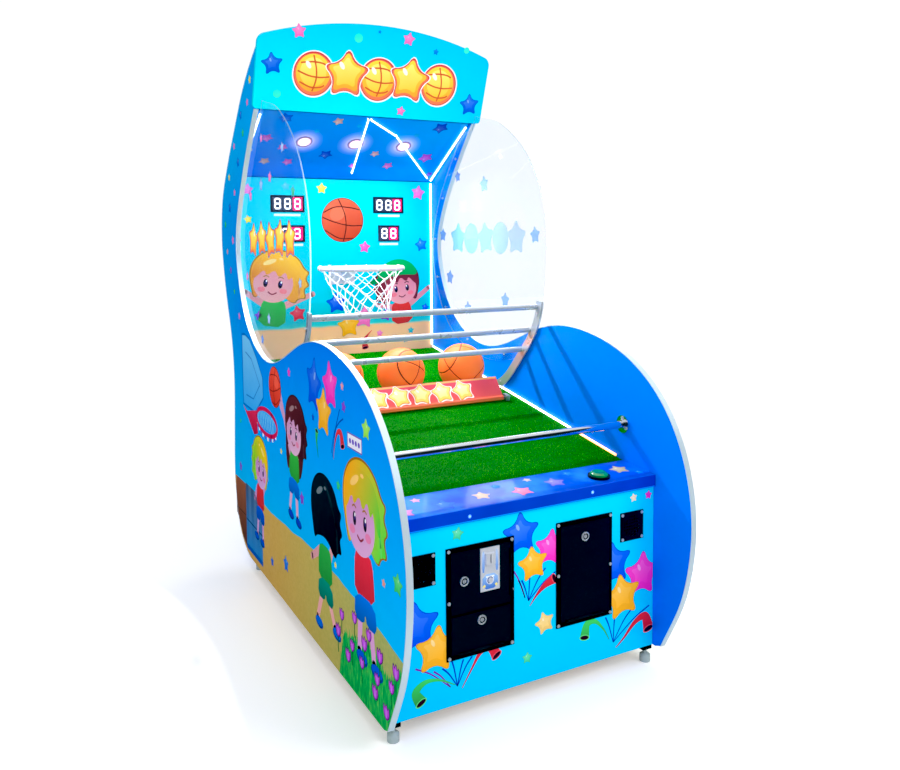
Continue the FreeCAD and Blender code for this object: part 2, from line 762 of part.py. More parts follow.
# ---------------------------------------------------------------- coin acceptor, cash box
# Faceplate on the door, mechanism behind, slot and return button.
PLATE_Z = 378.5  # middle of the faceplate
RETURN_Z = 346
RETURN_RADIUS = 8
plate_y = door_face - 3.1

faceplate = box(ACCEPTOR_X - dim.plate_wide / 2, plate_y, PLATE_Z - dim.plate_tall / 2,
                dim.plate_wide, 3, dim.plate_tall)
mechanism = box(ACCEPTOR_X - 25, plate_y + 2, 323, 50, 62, 111)
slot_block = box(ACCEPTOR_X - 16, plate_y - 5, 392, 32, 6, 34)
coin_slot = box(ACCEPTOR_X - 1.8, plate_y - 8, 396, 3.6, 30, 26)
return_bore = cyl(ACCEPTOR_X, plate_y - 8, RETURN_Z, RETURN_RADIUS + 0.05, 24, REARWARD)
cavity = box(ACCEPTOR_X - 16, plate_y + 14, 330, 32, 44, 60)
add_node(cut(fuse(faceplate, mechanism, slot_block), coin_slot, return_bore, cavity),
         "coin_acceptor")
add_node(fuse(cyl(ACCEPTOR_X, plate_y - 4, RETURN_Z, RETURN_RADIUS, 12, REARWARD),
              cyl(ACCEPTOR_X, plate_y - 5, RETURN_Z, 6.5, 1.2, REARWARD)), "coin_return_button")
add_node(cut(box(-262, 40, 156, 170, 220, 88), box(-260, 42, 158, 166, 216, 90)), "cash_box")

# ---------------------------------------------------------------- speaker grilles
GRILLE_THICK = 2.5
GRILLE_PITCH = 10
GRILLE_HOLE = 3.2


def grille(x):
    """Square plate with a round field of holes."""
    half = dim.grille_side / 2
    holes = []
    for i in range(-3, 4):
        for j in range(-3, 4):
            if i * i + j * j < 12:
                holes.append(cyl(x + GRILLE_PITCH * i, -4, SPEAKER_Z + GRILLE_PITCH * j,
                                 GRILLE_HOLE, 10, REARWARD))
    return cut(box(x - half, -GRILLE_THICK, SPEAKER_Z - half,
                   dim.grille_side, GRILLE_THICK, dim.grille_side), *holes)


add_node(group(*[grille(x) for x in SPEAKER_XS]), "speaker_grilles")


# ---------------------------------------------------------------- rear panel and door
def rear_board():
    """Rear panel with a bent lower edge and the door opening."""
    front, back = dim.rear_y.value, (dim.rear_y + dim.rear_thick).value
    section = [(front, 705), (back, 705), (back, 170), (1470, 32), (1420, 16),
               (1416, 28), (1459, 42), (front, 176), (front, 705)]
    outline = Part.makePolygon([Vector(-board_half.value, y, z) for y, z in section])
    board = doc.addObject("Part::Feature", "rear_board")
    board.Shape = Part.Face(outline).extrude(Vector(board_width.value, 0, 0))
    place(board, 0, 0, 0)
    return cut(board, box(-230, 1560, 210, 460, 60, 380))


def rear_panel_and_door():
    """Overlay door on a three-knuckle hinge whose fixed leaves belong to the panel."""
    x, z, width, height, thick = -245, 196, 490, 408, 10
    inset = 30
    panel_back = dim.rear_y + dim.rear_thick
    door_y = panel_back + 0.3
    pin_x, pin_y = x + width + 1.5, door_y + thick + 1
    pin, ends, middle, bore, third = knuckles((pin_x, pin_y, z + inset), height - 2 * inset, UP)
    leaves, notches = [], []
    for low in (z + inset, z + inset + 2 * third + KNUCKLE_GAP):
        leaves.append(box(pin_x - 1, panel_back, low, 14, 12, third - KNUCKLE_GAP))
        notches.append(box(pin_x - 5, door_y - 1, low - 1, 12, 20, third + 1))
    plate = box(x, door_y, z, width, thick, height)
    add_node(cut(fuse(plate, middle), bore, *notches), "rear_door")
    add_node(fuse(rear_board(), fuse(*leaves, *ends, pin)), "rear_panel")


rear_panel_and_door()

# ---------------------------------------------------------------- gate and its drive
# A motor under the deck turns a crank; a rod carries the motion to the gate's shaft.
LEVER_X, LEVER_THICK = -434, 6
LINK_X, LINK_THICK = -427, 5
LINK_PIN = 3
CRANK_SHAFT = 4
BEARING_XS = (-410, 394)
BEARING_WIDE = 16

gate_y, gate_z = deck_point(648.5, 12)
crank_z = gate_z - dim.link_drop.value
lever_turn = about_x(dim.lever_angle)
pin_y, top_pin_z = tilted(gate_y, gate_z, lever_turn)(dim.lever_arm.value, 0)
low_pin_z = top_pin_z - dim.link_drop.value


def gate_flap():
    turn = about_x(dim.gate_angle)
    corner = tilted(gate_y, gate_z, turn)(-dim.gate_tail.value, -dim.gate_thick.value / 2)
    board = box(-dim.gate_half, *corner, 2 * dim.gate_half,
                dim.gate_reach + dim.gate_tail, dim.gate_thick, turn)
    hub = cyl(-dim.gate_half, gate_y, gate_z, dim.hub_radius, 2 * dim.gate_half, RIGHT)
    bore = cyl(-dim.gate_half - 1, gate_y, gate_z, dim.shaft_radius, 2 * dim.gate_half + 2, RIGHT)
    add_node(cut(fuse(board, hub), bore), "gate_flap")


def lever(y, z, hub_radius):
    """Flat arm from a hub to its pin end."""
    point = tilted(y, z, lever_turn)
    return fuse(cyl(LEVER_X, y, z, hub_radius, LEVER_THICK, RIGHT),
                box(LEVER_X, *point(0, -7), LEVER_THICK, dim.lever_arm, 14, lever_turn),
                cyl(LEVER_X, *point(dim.lever_arm.value, 0), 7, LEVER_THICK, RIGHT))


def lever_pin(z):
    return cyl(LEVER_X + 5.5, pin_y, z, LINK_PIN, 8, RIGHT)


def gate_rod():
    link = fuse(box(LINK_X, pin_y - 6, low_pin_z, LINK_THICK, 12, dim.link_drop),
                *[cyl(LINK_X, pin_y, z, 8, LINK_THICK, RIGHT) for z in (low_pin_z, top_pin_z)])
    add_node(cut(link, cyl(LINK_X - 3, pin_y, low_pin_z, LINK_PIN + 0.05, 12, RIGHT),
                 cyl(LINK_X - 3, pin_y, top_pin_z, LINK_PIN + 0.4, 12, RIGHT)), "gate_rod")


def gate_bearing(x):
    corner = tilted(gate_y, gate_z, deck_turn)(-14, -11.9)
    return cut(box(x, *corner, BEARING_WIDE, 28, 23, deck_turn),
               cyl(x - 1, gate_y, gate_z, dim.shaft_radius + 0.05, BEARING_WIDE + 2, RIGHT))


def gate_motor():
    """Gearbox, motor can and end boss, hung from the deck by a bracket."""
    deck_depth = dim.turf_thick.value + dim.deck_thick.value + 0.3
    bracket = cut(box(-416, gate_y - 22, crank_z + 20, 30, 44, 120),
                  box(-500, *deck_point(300, -deck_depth), 300, 800, 200, deck_turn))
    solid = fuse(box(-418, gate_y - 26, crank_z - 26, 32, 52, 52),
                 cyl(-388, gate_y, crank_z, 21, 68, RIGHT),
                 cyl(-322, gate_y, crank_z, 8, 8, RIGHT), bracket)
    bore = cyl(-419, gate_y, crank_z, CRANK_SHAFT + 0.05, 18, RIGHT)
    add_node(cut(solid, bore), "gate_motor")


gate_flap()
add_node(fuse(cyl(LEVER_X, gate_y, gate_z, dim.shaft_radius, 852, RIGHT),
              lever(gate_y, gate_z, 10.5), lever_pin(top_pin_z)), "gate_shaft")
add_node(fuse(lever(gate_y, crank_z, 9), lever_pin(low_pin_z),
              cyl(LEVER_X + 5.5, gate_y, crank_z, CRANK_SHAFT, 26, RIGHT)), "gate_crank")
gate_rod()
add_node(group(*[gate_bearing(x) for x in BEARING_XS]), "gate_bearings")
gate_motor()

# ---------------------------------------------------------------- balls
for label, x in (("ball_left", -247), ("ball_centre", 14), ("ball_right", 286)):
    add_node(primitive("Sphere", x, dim.ball_y, dim.ball_z, Radius=dim.ball_radius), label)

# ---------------------------------------------------------------- lighting
STRIP_RADIUS = 4
STRIP_RISE = 4.4  # strip's axis off the turf or ceiling


def ceiling_run(*points):
    """Strip under the lamp rims through (x, along) points, on short standoffs."""
    ends = [(x, *ceiling_point(along, -6.3)) for x, along in points]
    legs = [cyl(*end, 2.9, 6.2, ceiling_up) for end in ends]
    return fuse(*[rod(start, end, 3) for start, end in zip(ends, ends[1:])], *legs)


strips = []
for side in SIDES:
    for x, start, end in (
        (461, (1557, 818), (1557, 1596)),
        (463, deck_point(36, STRIP_RISE), deck_point(1420, STRIP_RISE)),
        (456, ceiling_point(20, -STRIP_RISE), ceiling_point(425, -STRIP_RISE)),
    ):
        strips.append(rod((side * x, *start), (side * x, *end), STRIP_RADIUS))
strips += [ceiling_run((-8, 12), (40, 384)), ceiling_run((6, 12), (154, 106)),
           ceiling_run((158.5, 111), (428, 404))]
add_node(group(*strips), "led_strips")

# ---------------------------------------------------------------- electrics on the floor
FLOOR_TOP = FLOOR_THICK + 0.1
BOARD_TOP = 26

add_node(fuse(box(120, 700, FLOOR_TOP, 160, 98, 42), box(128, 690, FLOOR_TOP, 20, 12, 20)),
         "power_supply")
standoffs = [cyl(x, y, FLOOR_TOP, 4, 9) for x in (-190, -10) for y in (650, 770)]
add_node(fuse(box(-200, 640, BOARD_TOP - 2, 200, 140, 2), *standoffs,
              box(-150, 680, BOARD_TOP, 40, 40, 5), box(-80, 660, BOARD_TOP, 30, 60, 12),
              box(-190, 700, BOARD_TOP, 20, 50, 10)), "control_board")

# ---------------------------------------------------------------- feet and casters
AXLE_Z = -31
CASTER_TRAIL = 14  # front axle's distance behind its swivel
foot_spots = [(side * dim.foot_x, y) for side in SIDES for y in (dim.foot_front, dim.foot_rear)]


def leveling_foot(x, y):
    return fuse(cyl(x, y, -dim.base_z, dim.foot_radius, 22),
                cone(x, y, -33, dim.foot_radius, 9, 6), cyl(x, y, -30, 6, 15.9))


def mounting_plate(x, y):
    return box(x - 26, y - 26, -3.1, 52, 52, 3)


def caster_plates(side):
    """Front swivel plate and rear axle bracket."""
    x, front, rear = side * dim.caster_x, dim.caster_y, dim.rear_axle_y
    cheeks = [box(x + offset, rear - 14, -38, 3, 28, 38) for offset in (-14, 11)]
    return [cut(mounting_plate(x, front), cyl(x, front, -6, 5.05, 10)),
            cut(fuse(*cheeks, mounting_plate(x, rear)),
                cyl(x - 30, rear, AXLE_Z, dim.axle_radius + 0.05, 60, RIGHT))]


def wheel(x, y):
    return cyl(x - dim.wheel_wide / 2, y, AXLE_Z, dim.wheel_radius, dim.wheel_wide, RIGHT)


def caster(side, name):
    x, y = side * dim.caster_x, dim.caster_y
    axle_y = y + CASTER_TRAIL
    cheeks = [box(x + offset, y + 2, -37, 3, 24, 30) for offset in (-14, 11)]
    add_node(fuse(box(x - 14, y - 14, -8, 28, 40, 3), *cheeks, cyl(x, y, -6, 5, 5.5),
                  cyl(x - 16, axle_y, AXLE_Z, dim.axle_radius, 32, RIGHT)), "caster_fork_" + name)
    add_node(cut(wheel(x, axle_y),
                 cyl(x - 10, axle_y, AXLE_Z, dim.axle_radius + 0.05, 20, RIGHT)),
             "caster_wheel_" + name)


add_node(group(*[leveling_foot(x, y) for x, y in foot_spots]), "leveling_feet")
blocks = [box(x - 18, y - 12, -14, 36, 42, 13.9) for x, y in foot_spots]
add_node(group(*blocks, *caster_plates(-1), *caster_plates(1)), "foot_blocks")
caster(-1, "left")
caster(1, "right")
axle_half = dim.caster_x + 20
add_node(fuse(cyl(-axle_half, dim.rear_axle_y, AXLE_Z, dim.axle_radius, 2 * axle_half, RIGHT),
              *[wheel(side * dim.caster_x, dim.rear_axle_y) for side in SIDES]), "rear_wheels")

# ---------------------------------------------------------------- fasteners
# (x positions, z positions) of the door frame screws.
FRAME_SCREWS = [((-282, -73), (141, 301, 450)), ((93, 291), (150, 305, 461))]
GRILLE_OFFSET = 39
FLANGE_CIRCLE = 22.5
# (y, z) of the screws in each window and upright.
WINDOW_SCREWS = [(1210, 880), (1420, 1010), (1500, 1150), (1522, 1330), (1440, 1520),
                 (1310, 1690), (900, 850)]
UPRIGHT_SCREWS = [(922, 730), (746, 885), (700, 945), (650, 1030)]
screws = []


def screw(x, y, z, direction, shank=9):
    """Screw whose head stands on the surface at (x, y, z), facing along direction."""
    tip = [base - step * shank for base, step in zip((x, y, z), direction)]
    screws.append(fuse(cyl(x, y, z, dim.screw_head, dim.screw_high, direction),
                       cyl(*tip, dim.screw_shank, shank + 0.5, direction)))


for xs, zs in FRAME_SCREWS:
    for x in xs:
        for z in zs:
            screw(x, -dim.frame_thick, z, FORWARD)
for x in SPEAKER_XS:
    for dx in (-GRILLE_OFFSET, GRILLE_OFFSET):
        for dz in (-GRILLE_OFFSET, GRILLE_OFFSET):
            screw(x + dx, -GRILLE_THICK, SPEAKER_Z + dz, FORWARD)
for side, inward in zip(SIDES, (RIGHT, LEFT)):
    for k in range(3):
        angle = math.radians(90 + 120 * k)
        screw(side * flange_face, dim.bar_y + FLANGE_CIRCLE * math.cos(angle),
              dim.bar_z + FLANGE_CIRCLE * math.sin(angle), inward, 12)
    for y, z in WINDOW_SCREWS:
        screw(side * window_face, y, z, inward, 12)
    for y, z in UPRIGHT_SCREWS:
        screw(side * upright_inner, y, z, inward, 16)
for x in BOLT_XS:
    screws.append(fuse(cyl(x, BRACKET_Y, BOLT_Z, 8, 4, FORWARD),
                       cyl(x, BRACKET_Y - 1, BOLT_Z, BOLT_HOLE - 0.1, 22, REARWARD)))
add_node(group(*screws), "panel_screws")

doc.recompute()

# ---------------------------------------------------------------- checks and export
problems = []
for item in doc.Objects:
    if any(flag in ("Invalid", "Error") for flag in item.State):
        problems.append("%s (%s): %s" % (item.Name, item.TypeId, item.State))
for item in nodes:
    if item.Shape.isNull() or not item.Shape.isValid():
        problems.append("%s has no valid shape" % item.Label)
    elif not item.Shape.Solids:
        problems.append("%s has no solid" % item.Label)
if len({item.Label for item in nodes}) != len(nodes):
    problems.append("a label is used twice")
if problems:
    raise RuntimeError("; ".join(problems))

os.makedirs("parts", exist_ok=True)
for item in nodes:
    item.Shape.exportStep(os.path.join("parts", item.Label + ".step"))
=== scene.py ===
"""Basketball arcade cabinet: printed panels, lit displays, turf deck, hoop net and three balls.

The front faces -Y, X runs to the right as seen from the front, Z is up. Places are given in
cabinet millimetres: y back from the front panel, z up from a base 55 mm above the floor.
"""
import math
import random

import bpy
import bmesh
import numpy as np
from mathutils import Euler, Matrix, Vector, geometry


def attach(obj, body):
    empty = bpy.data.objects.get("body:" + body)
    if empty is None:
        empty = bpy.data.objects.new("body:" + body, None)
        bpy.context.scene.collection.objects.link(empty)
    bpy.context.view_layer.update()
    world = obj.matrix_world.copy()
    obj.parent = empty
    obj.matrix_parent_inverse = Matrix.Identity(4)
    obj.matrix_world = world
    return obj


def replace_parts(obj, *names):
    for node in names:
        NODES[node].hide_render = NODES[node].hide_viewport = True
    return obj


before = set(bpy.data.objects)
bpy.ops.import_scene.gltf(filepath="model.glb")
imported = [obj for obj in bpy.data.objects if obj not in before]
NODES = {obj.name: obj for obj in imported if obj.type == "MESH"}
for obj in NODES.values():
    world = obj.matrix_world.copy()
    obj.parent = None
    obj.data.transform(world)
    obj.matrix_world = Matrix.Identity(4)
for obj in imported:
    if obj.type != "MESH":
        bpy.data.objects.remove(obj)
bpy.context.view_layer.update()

rnd = random.Random(11)
blade_rng = np.random.default_rng(11)

# Cabinet origin in the frame, mm
FRAME_Y, FRAME_Z = -796.24, 55.0
# Sloping play deck: front edge and tilt
DECK_Y, DECK_Z, DECK_TILT = 146, 577, math.radians(9.257)
# Ceiling: front edge and fall towards the back
CEILING_Y, CEILING_Z, CEILING_TILT = 1183, 1831, math.radians(31)
CEILING_NORMAL = Vector((0, -math.sin(CEILING_TILT), -math.cos(CEILING_TILT)))


def pos(x, y, z):
    """Frame point in metres from cabinet millimetres."""
    return Vector((x / 1000.0, (y + FRAME_Y) / 1000.0, (z + FRAME_Z) / 1000.0))


def deck(x, run, height):
    """Point `run` mm up the deck slope and `height` mm above it."""
    return pos(x, DECK_Y + run * math.cos(DECK_TILT) - height * math.sin(DECK_TILT),
               DECK_Z + run * math.sin(DECK_TILT) + height * math.cos(DECK_TILT))


# Centres of the three downlights: x, distance down the ceiling
LAMPS = [pos(x, CEILING_Y + run * math.cos(CEILING_TILT), CEILING_Z - run * math.sin(CEILING_TILT))
         for x, run in ((-236, 182), (-9, 180), (218, 180))]


# ---------------------------------------------------------------- colours
def rgb(*levels):
    """Linear RGBA from sRGB levels of 0-255."""
    shares = [v / 255.0 for v in levels]
    return tuple(v / 12.92 if v <= 0.04045 else ((v + 0.055) / 1.055) ** 2.4
                 for v in shares) + (1.0,)


def blend(start, end, share):
    return tuple(a + (b - a) * share for a, b in zip(start, end))


def darker(colour, share):
    return blend(colour, (0, 0, 0), share)


def paler(colour, share):
    return blend(colour, (255, 255, 255), share)


# ---------------------------------------------------------------- shader building
class Graph:
    """Shader nodes of a material or world. Any input may be a value or a socket."""

    def __init__(self, owner, clear=False):
        owner.use_nodes = True
        self.owner = owner
        self.nodes, self.links = owner.node_tree.nodes, owner.node_tree.links
        if clear:
            self.nodes.clear()
        self.coords = self.nodes.new("ShaderNodeTexCoord").outputs["Object"]

    def put(self, socket, value):
        if hasattr(value, "is_output"):
            self.links.new(value, socket)
        elif value is not None:
            socket.default_value = value

    def node(self, kind, inputs=None, output=0, **settings):
        """Add a node and return one of its output sockets."""
        node = self.nodes.new("ShaderNode" + kind)
        for key, value in settings.items():
            setattr(node, key, value)
        for key, value in (inputs or {}).items():
            self.put(node.inputs[key], value)
        return node.outputs[output]

    def surface(self, kind, shader):
        self.put(self.nodes.new("ShaderNode" + kind).inputs["Surface"], shader)

    def math(self, operation, a, b=0.5):
        return self.node("Math", {0: a, 1: b}, operation=operation)

    def plus(self, a, b):
        return self.math("ADD", a, b)

    def minus(self, a, b):
        return self.math("SUBTRACT", a, b)

    def times(self, a, b):
        return self.math("MULTIPLY", a, b)

    def noise(self, scale, detail=3.0, rough=0.5, vector=None):
        return self.node("TexNoise", {"Vector": vector or self.coords, "Scale": scale,
                                      "Detail": detail, "Roughness": rough}, "Fac")

    def wobble(self, gain, scale, detail, vector=None):
        """Noise centred on zero."""
        noise = self.noise(scale, detail, vector=vector)
        return self.times(self.minus(noise, 0.5), gain)

    def cells(self, scale, randomness=1.0):
        return self.node("TexVoronoi", {"Vector": self.coords, "Scale": scale,
                                        "Randomness": randomness}, "Distance")

    def stretched(self, scale):
        return self.node("Mapping", {0: self.coords, "Scale": scale})

    def split(self, vector=None):
        return self.node("SeparateXYZ", {0: vector or self.coords}).node.outputs[:]

    def remap(self, value, low, high, to_low=0.0, to_high=1.0, **settings):
        return self.node("MapRange", {0: value, 1: low, 2: high, 3: to_low, 4: to_high},
                         **settings)

    def mix(self, share, a, b):
        return self.node("Mix", {0: share, 6: a, 7: b}, 2, data_type="RGBA", clamp_factor=True)

    def mix_shader(self, share, a, b):
        return self.node("MixShader", {0: share, 1: a, 2: b})

    def ramp(self, factor, stops):
        """Colour ramp; each stop is (position, linear RGBA)."""
        socket = self.node("ValToRGB", {0: factor})
        elements = socket.node.color_ramp.elements
        while len(elements) < len(stops):
            elements.new(0.5)
        for element, (position, colour) in zip(elements, stops):
            element.position = position
            element.color = colour
        return socket

    def hues(self, factor, *stops):
        """Ramp of sRGB stops: position, r, g, b."""
        return self.ramp(factor, [(stop[0], rgb(*stop[1:])) for stop in stops])

    def greys(self, factor, *stops):
        """Ramp of linear grey stops: position, value."""
        return self.ramp(factor, [(at, (v, v, v, 1)) for at, v in stops])


class Material(Graph):
    def __init__(self, name, rough=0.4, metal=0.0, coat=0.0, specular=0.5, coat_rough=0.12):
        super().__init__(bpy.data.materials.new(name))
        self.inputs = self.nodes["Principled BSDF"].inputs
        self.rough = rough
        self.inputs["Metallic"].default_value = metal
        self.inputs["Coat Weight"].default_value = coat
        self.inputs["Coat Roughness"].default_value = coat_rough
        self.inputs["Specular IOR Level"].default_value = specular
        self.inputs["Roughness"].default_value = rough

    def printed(self):
        """Colour stored on the points of the mesh."""
        return self.node("Attribute", output="Color", attribute_name="Col")

    def glow(self, colour, strength):
        self.put(self.inputs["Emission Color"], colour)
        self.put(self.inputs["Emission Strength"], strength)

    def finish(self, colour, mottle=0.05, patch=6.0, spread=0.08, bump=0.0, grain=300.0,
               depth=0.0005, bevel=0.0, height=None):
        """mottle and patch: amount and scale of value changes; spread: of roughness;
        bump, grain, depth: strength, scale and distance of the relief; bevel: radius, m."""
        wide = self.wobble(mottle * 2, patch, 4.0)
        fine = self.wobble(mottle, patch * 14, 2.0)
        value = self.plus(self.plus(wide, fine), 1.0)
        self.put(self.inputs["Base Color"],
                 self.node("HueSaturation", {"Value": value, "Color": colour}))
        base = self.inputs["Roughness"].default_value
        self.put(self.inputs["Roughness"],
                 self.remap(self.noise(patch * 3, 5.0), 0.25, 0.75,
                            max(0.02, base - spread), base + spread))
        normal = None
        if bevel:
            normal = self.node("Bevel", {"Radius": bevel}, samples=4)
        if bump:
            relief = self.noise(grain, 4.0) if height is None else height
            normal = self.node("Bump", {"Strength": bump, "Distance": depth,
                                        "Height": relief, "Normal": normal})
        self.put(self.inputs["Normal"], normal)
        return self.owner


# ---------------------------------------------------------------- general materials
def plain(name, colour, rough, metal=0.0, coat=0.0, **look):
    return Material(name, rough, metal, coat).finish(rgb(*colour), **look)


def vinyl(name, colour, coat=0.03, coat_rough=0.12):
    """Printed film on board; colour is an sRGB triple or a function of the material."""
    mat = Material(name, rough=0.40, coat=coat, specular=0.10, coat_rough=coat_rough)
    colour = colour(mat) if callable(colour) else rgb(*colour)
    return mat.finish(colour, mottle=0.035, bump=0.06, grain=900.0, depth=0.0003, bevel=0.0012)


def powder_coat(name, colour, fleck_and_glint_amount):
    """Dark orange-peel coat with a few bright specks; on the speaker grilles the specks are
    painted glints of the perforations.
    """
    mat = Material(name, rough=0.40, specular=0.22)
    fleck_and_glint_mask = mat.times(mat.math("LESS_THAN", mat.cells(420.0), 0.13), fleck_and_glint_amount)
    sparse = mat.math("GREATER_THAN", mat.noise(260.0, detail=1.0), 0.56)
    colour = mat.mix(mat.times(fleck_and_glint_mask, sparse), rgb(*colour), rgb(150, 156, 166))
    return mat.finish(colour, mottle=0.12, patch=10.0, spread=0.09, bump=0.35, grain=650.0,
                      depth=0.0004, bevel=0.0010)


def print_material(name, rough=0.38, coat=0.03, glow=0.0):
    mat = Material(name, rough, coat=coat, specular=0.10)
    colour = mat.printed()
    if glow:
        mat.glow(colour, glow)
    return mat.finish(colour, mottle=0.03, patch=8.0, spread=0.05, bump=0.05, grain=900.0,
                      depth=0.0002)


def brushed_zinc():
    mat = Material("zinc_plated", rough=0.34, metal=1.0)
    scratches = mat.noise(60.0, detail=6.0, rough=0.7, vector=mat.stretched((5.0, 1.0, 1.0)))
    return mat.finish(rgb(178, 184, 190), mottle=0.05, patch=9.0, spread=0.07, bump=0.15,
                      depth=0.0002, bevel=0.0008, height=scratches)


def acrylic():
    """Clear sheet with a faint haze, front-face reflections and pale sawn edges."""
    graph = Graph(bpy.data.materials.new("clear_acrylic_sheet"), clear=True)
    clear = graph.node("BsdfTransparent", {0: (0.945, 0.972, 1.0, 1)})
    gloss = graph.node("BsdfGlossy", {"Roughness": 0.04, "Color": (0.93, 0.97, 1.0, 1)})
    haze = graph.node("BsdfDiffuse", {0: (0.86, 0.93, 1.0, 1)})
    haze_share = graph.remap(graph.noise(7.0, detail=5.0), 0.3, 0.8, 0.006, 0.03)
    fresnel = graph.node("LayerWeight", {"Blend": 0.12}, "Fresnel")
    front = graph.minus(1.0, graph.node("NewGeometry", output="Backfacing"))
    front_fresnel = graph.times(fresnel, front)
    hazy = graph.mix_shader(haze_share, clear, haze)
    sheet = graph.mix_shader(front_fresnel, hazy, gloss)
    # The large faces look along X; every other face is an edge.
    normal_x = graph.split(graph.node("NewGeometry", output="True Normal"))[0]
    is_edge = graph.math("LESS_THAN", graph.math("ABSOLUTE", normal_x), 0.5)
    pale = graph.node("BsdfTranslucent", {0: (0.72, 0.86, 0.97, 1)})
    edge = graph.mix_shader(0.5, pale, clear)
    graph.surface("OutputMaterial", graph.mix_shader(is_edge, sheet, edge))
    return graph.owner


# ---------------------------------------------------------------- printed base colours
# Upper edges of the sand and of the grass on the side panels: y, z
SAND_LINE = [(-144, 245), (-22, 266), (109, 280), (389, 302), (568, 307), (738, 300),
             (1026, 288), (1650, 300)]
GRASS_LINE = [(-150, 236), (-139, 234), (-100, 190), (-56, 163), (-18, 165), (48, 200),
              (167, 176), (284, 147), (319, 51), (330, 0), (340, -30)]


def edge_line(mat, y, start, end, line):
    """Height of a line in metres at y; the ramp holds it in half metres."""
    share = mat.remap(y, (start + FRAME_Y) / 1000, (end + FRAME_Y) / 1000)
    stops = [((along - start) / (end - start), (up + FRAME_Z) / 500.0) for along, up in line]
    return share, mat.times(mat.greys(share, *stops), 0.5)


def side_colour(outer_sign):
    """Blue above sand and grass outside, plain blue on the inner face."""
    def colour(mat):
        _, y, z = mat.split()
        sand_wobble = mat.wobble(gain=0.016, scale=9.0, detail=2.0)
        result = mat.hues(mat.remap(z, 0.30, 1.75), (0.0, 0, 186, 255), (0.28, 0, 162, 255),
                          (0.55, 0, 122, 248), (0.8, 0, 134, 250), (1.0, 0, 170, 255))
        rear = mat.remap(y, 0.35, 0.95)
        result = mat.mix(mat.times(rear, 0.55), result, rgb(0, 190, 252))
        along, sand_top = edge_line(mat, y, -144, 1650, SAND_LINE)
        sand_top = mat.plus(sand_top, sand_wobble)
        is_sand = mat.remap(mat.minus(sand_top, z), -0.0012, 0.0012)
        sand = mat.hues(along, (0.0, 150, 168, 96), (0.35, 186, 172, 84),
                        (0.62, 206, 166, 78), (1.0, 216, 160, 84))
        grain = mat.noise(70.0, detail=5.0, rough=0.7)
        sand = mat.mix(mat.remap(grain, 0.35, 0.75, 0.0, 0.30), sand, rgb(236, 206, 130))
        result = mat.mix(is_sand, result, sand)
        upright = mat.stretched((1.0, 1.0, 0.12))
        spikes = mat.wobble(gain=0.075, scale=150.0, detail=1.0, vector=upright)
        _, grass_top = edge_line(mat, y, -150, 350, GRASS_LINE)
        grass_top = mat.plus(grass_top, spikes)
        is_grass = mat.remap(mat.minus(grass_top, z), -0.001, 0.001)
        blades = mat.noise(210.0, detail=3.0, rough=0.65, vector=upright)
        grass = mat.hues(blades, (0.30, 0, 124, 64), (0.48, 8, 172, 80),
                         (0.62, 66, 202, 86), (0.78, 176, 220, 92))
        result = mat.mix(is_grass, result, grass)
        normal_x = mat.split(mat.node("NewGeometry", output="True Normal"))[0]
        is_inner = mat.math("GREATER_THAN", mat.times(normal_x, -outer_sign), 0.5)
        inner = mat.hues(mat.remap(z, 0.2, 1.3), (0.0, 0, 116, 248), (0.5, 0, 132, 255),
                         (1.0, 0, 146, 255))
        return mat.mix(is_inner, result, inner)
    return colour


def backboard_colour(mat):
    """Peach foot, then bands of turquoise."""
    z = mat.split()[2]
    share = mat.remap(z, 0.90, 1.64)
    share = mat.plus(share, mat.wobble(gain=0.03, scale=7.0, detail=2.0))

    def at(height):
        return (height + FRAME_Z - 900.0) / 740.0

    return mat.hues(share, (0.0, 255, 200, 150), (at(930), 255, 196, 142),
                    (at(938), 60, 205, 200), (at(960), 20, 190, 205), (at(1040), 0, 205, 222),
                    (at(1052), 0, 212, 232), (at(1300), 0, 206, 234), (1.0, 0, 216, 240))


def lamp_distance(mat):
    """Distance to the nearest downlight centre."""
    near = None
    for lamp in LAMPS:
        distance = mat.node("VectorMath", {0: mat.coords, 1: lamp}, "Value",
                            operation="DISTANCE")
        near = distance if near is None else mat.math("MINIMUM", near, distance)
    return near


def ceiling_colour(mat):
    """Blue, with a lilac glow of lamp light painted round each downlight as emission."""
    x, y, _ = mat.split()
    colour = mat.hues(mat.remap(y, 0.35, 0.80), (0.0, 0, 150, 245), (0.45, 0, 138, 240),
                      (1.0, 0, 118, 230))
    colour = mat.mix(mat.remap(x, 0.0, 0.4, 0.0, 0.7), colour, rgb(0, 168, 255))
    near = lamp_distance(mat)
    # Painted light: lilac emission fading out from each lamp, standing in for its light on the
    # ceiling.
    painted_lamp_glow = mat.greys(mat.remap(near, 0.034, 0.085), (0.0, 1), (0.3, 0.42), (0.65, 0.10),
                     (1.0, 0))
    mat.glow(rgb(226, 190, 255), mat.times(painted_lamp_glow, 0.75))
    return colour


def marquee_colour(mat):
    x, _, z = mat.split()
    colour = mat.hues(mat.remap(z, 1.90, 2.22), (0.0, 0, 238, 255), (0.55, 0, 222, 255),
                      (1.0, 0, 206, 252))
    return mat.mix(mat.remap(x, -0.1, 0.5, 0.0, 0.6), colour, rgb(0, 186, 244))


def front_colour(mat):
    # Lighter towards the top: painted light that makes up for the shade under the shelf.
    z = mat.split()[2]
    return mat.hues(mat.remap(z, 0.06, 0.58), (0.0, 0, 196, 252), (0.5, 0, 202, 254),
                    (1.0, 0, 214, 255))


def gate_colour(mat):
    z = mat.split()[2]
    return mat.hues(mat.remap(z, 0.735, 0.83), (0.0, 255, 150, 60), (0.16, 250, 118, 74),
                    (0.3, 244, 92, 92), (1.0, 240, 82, 104))


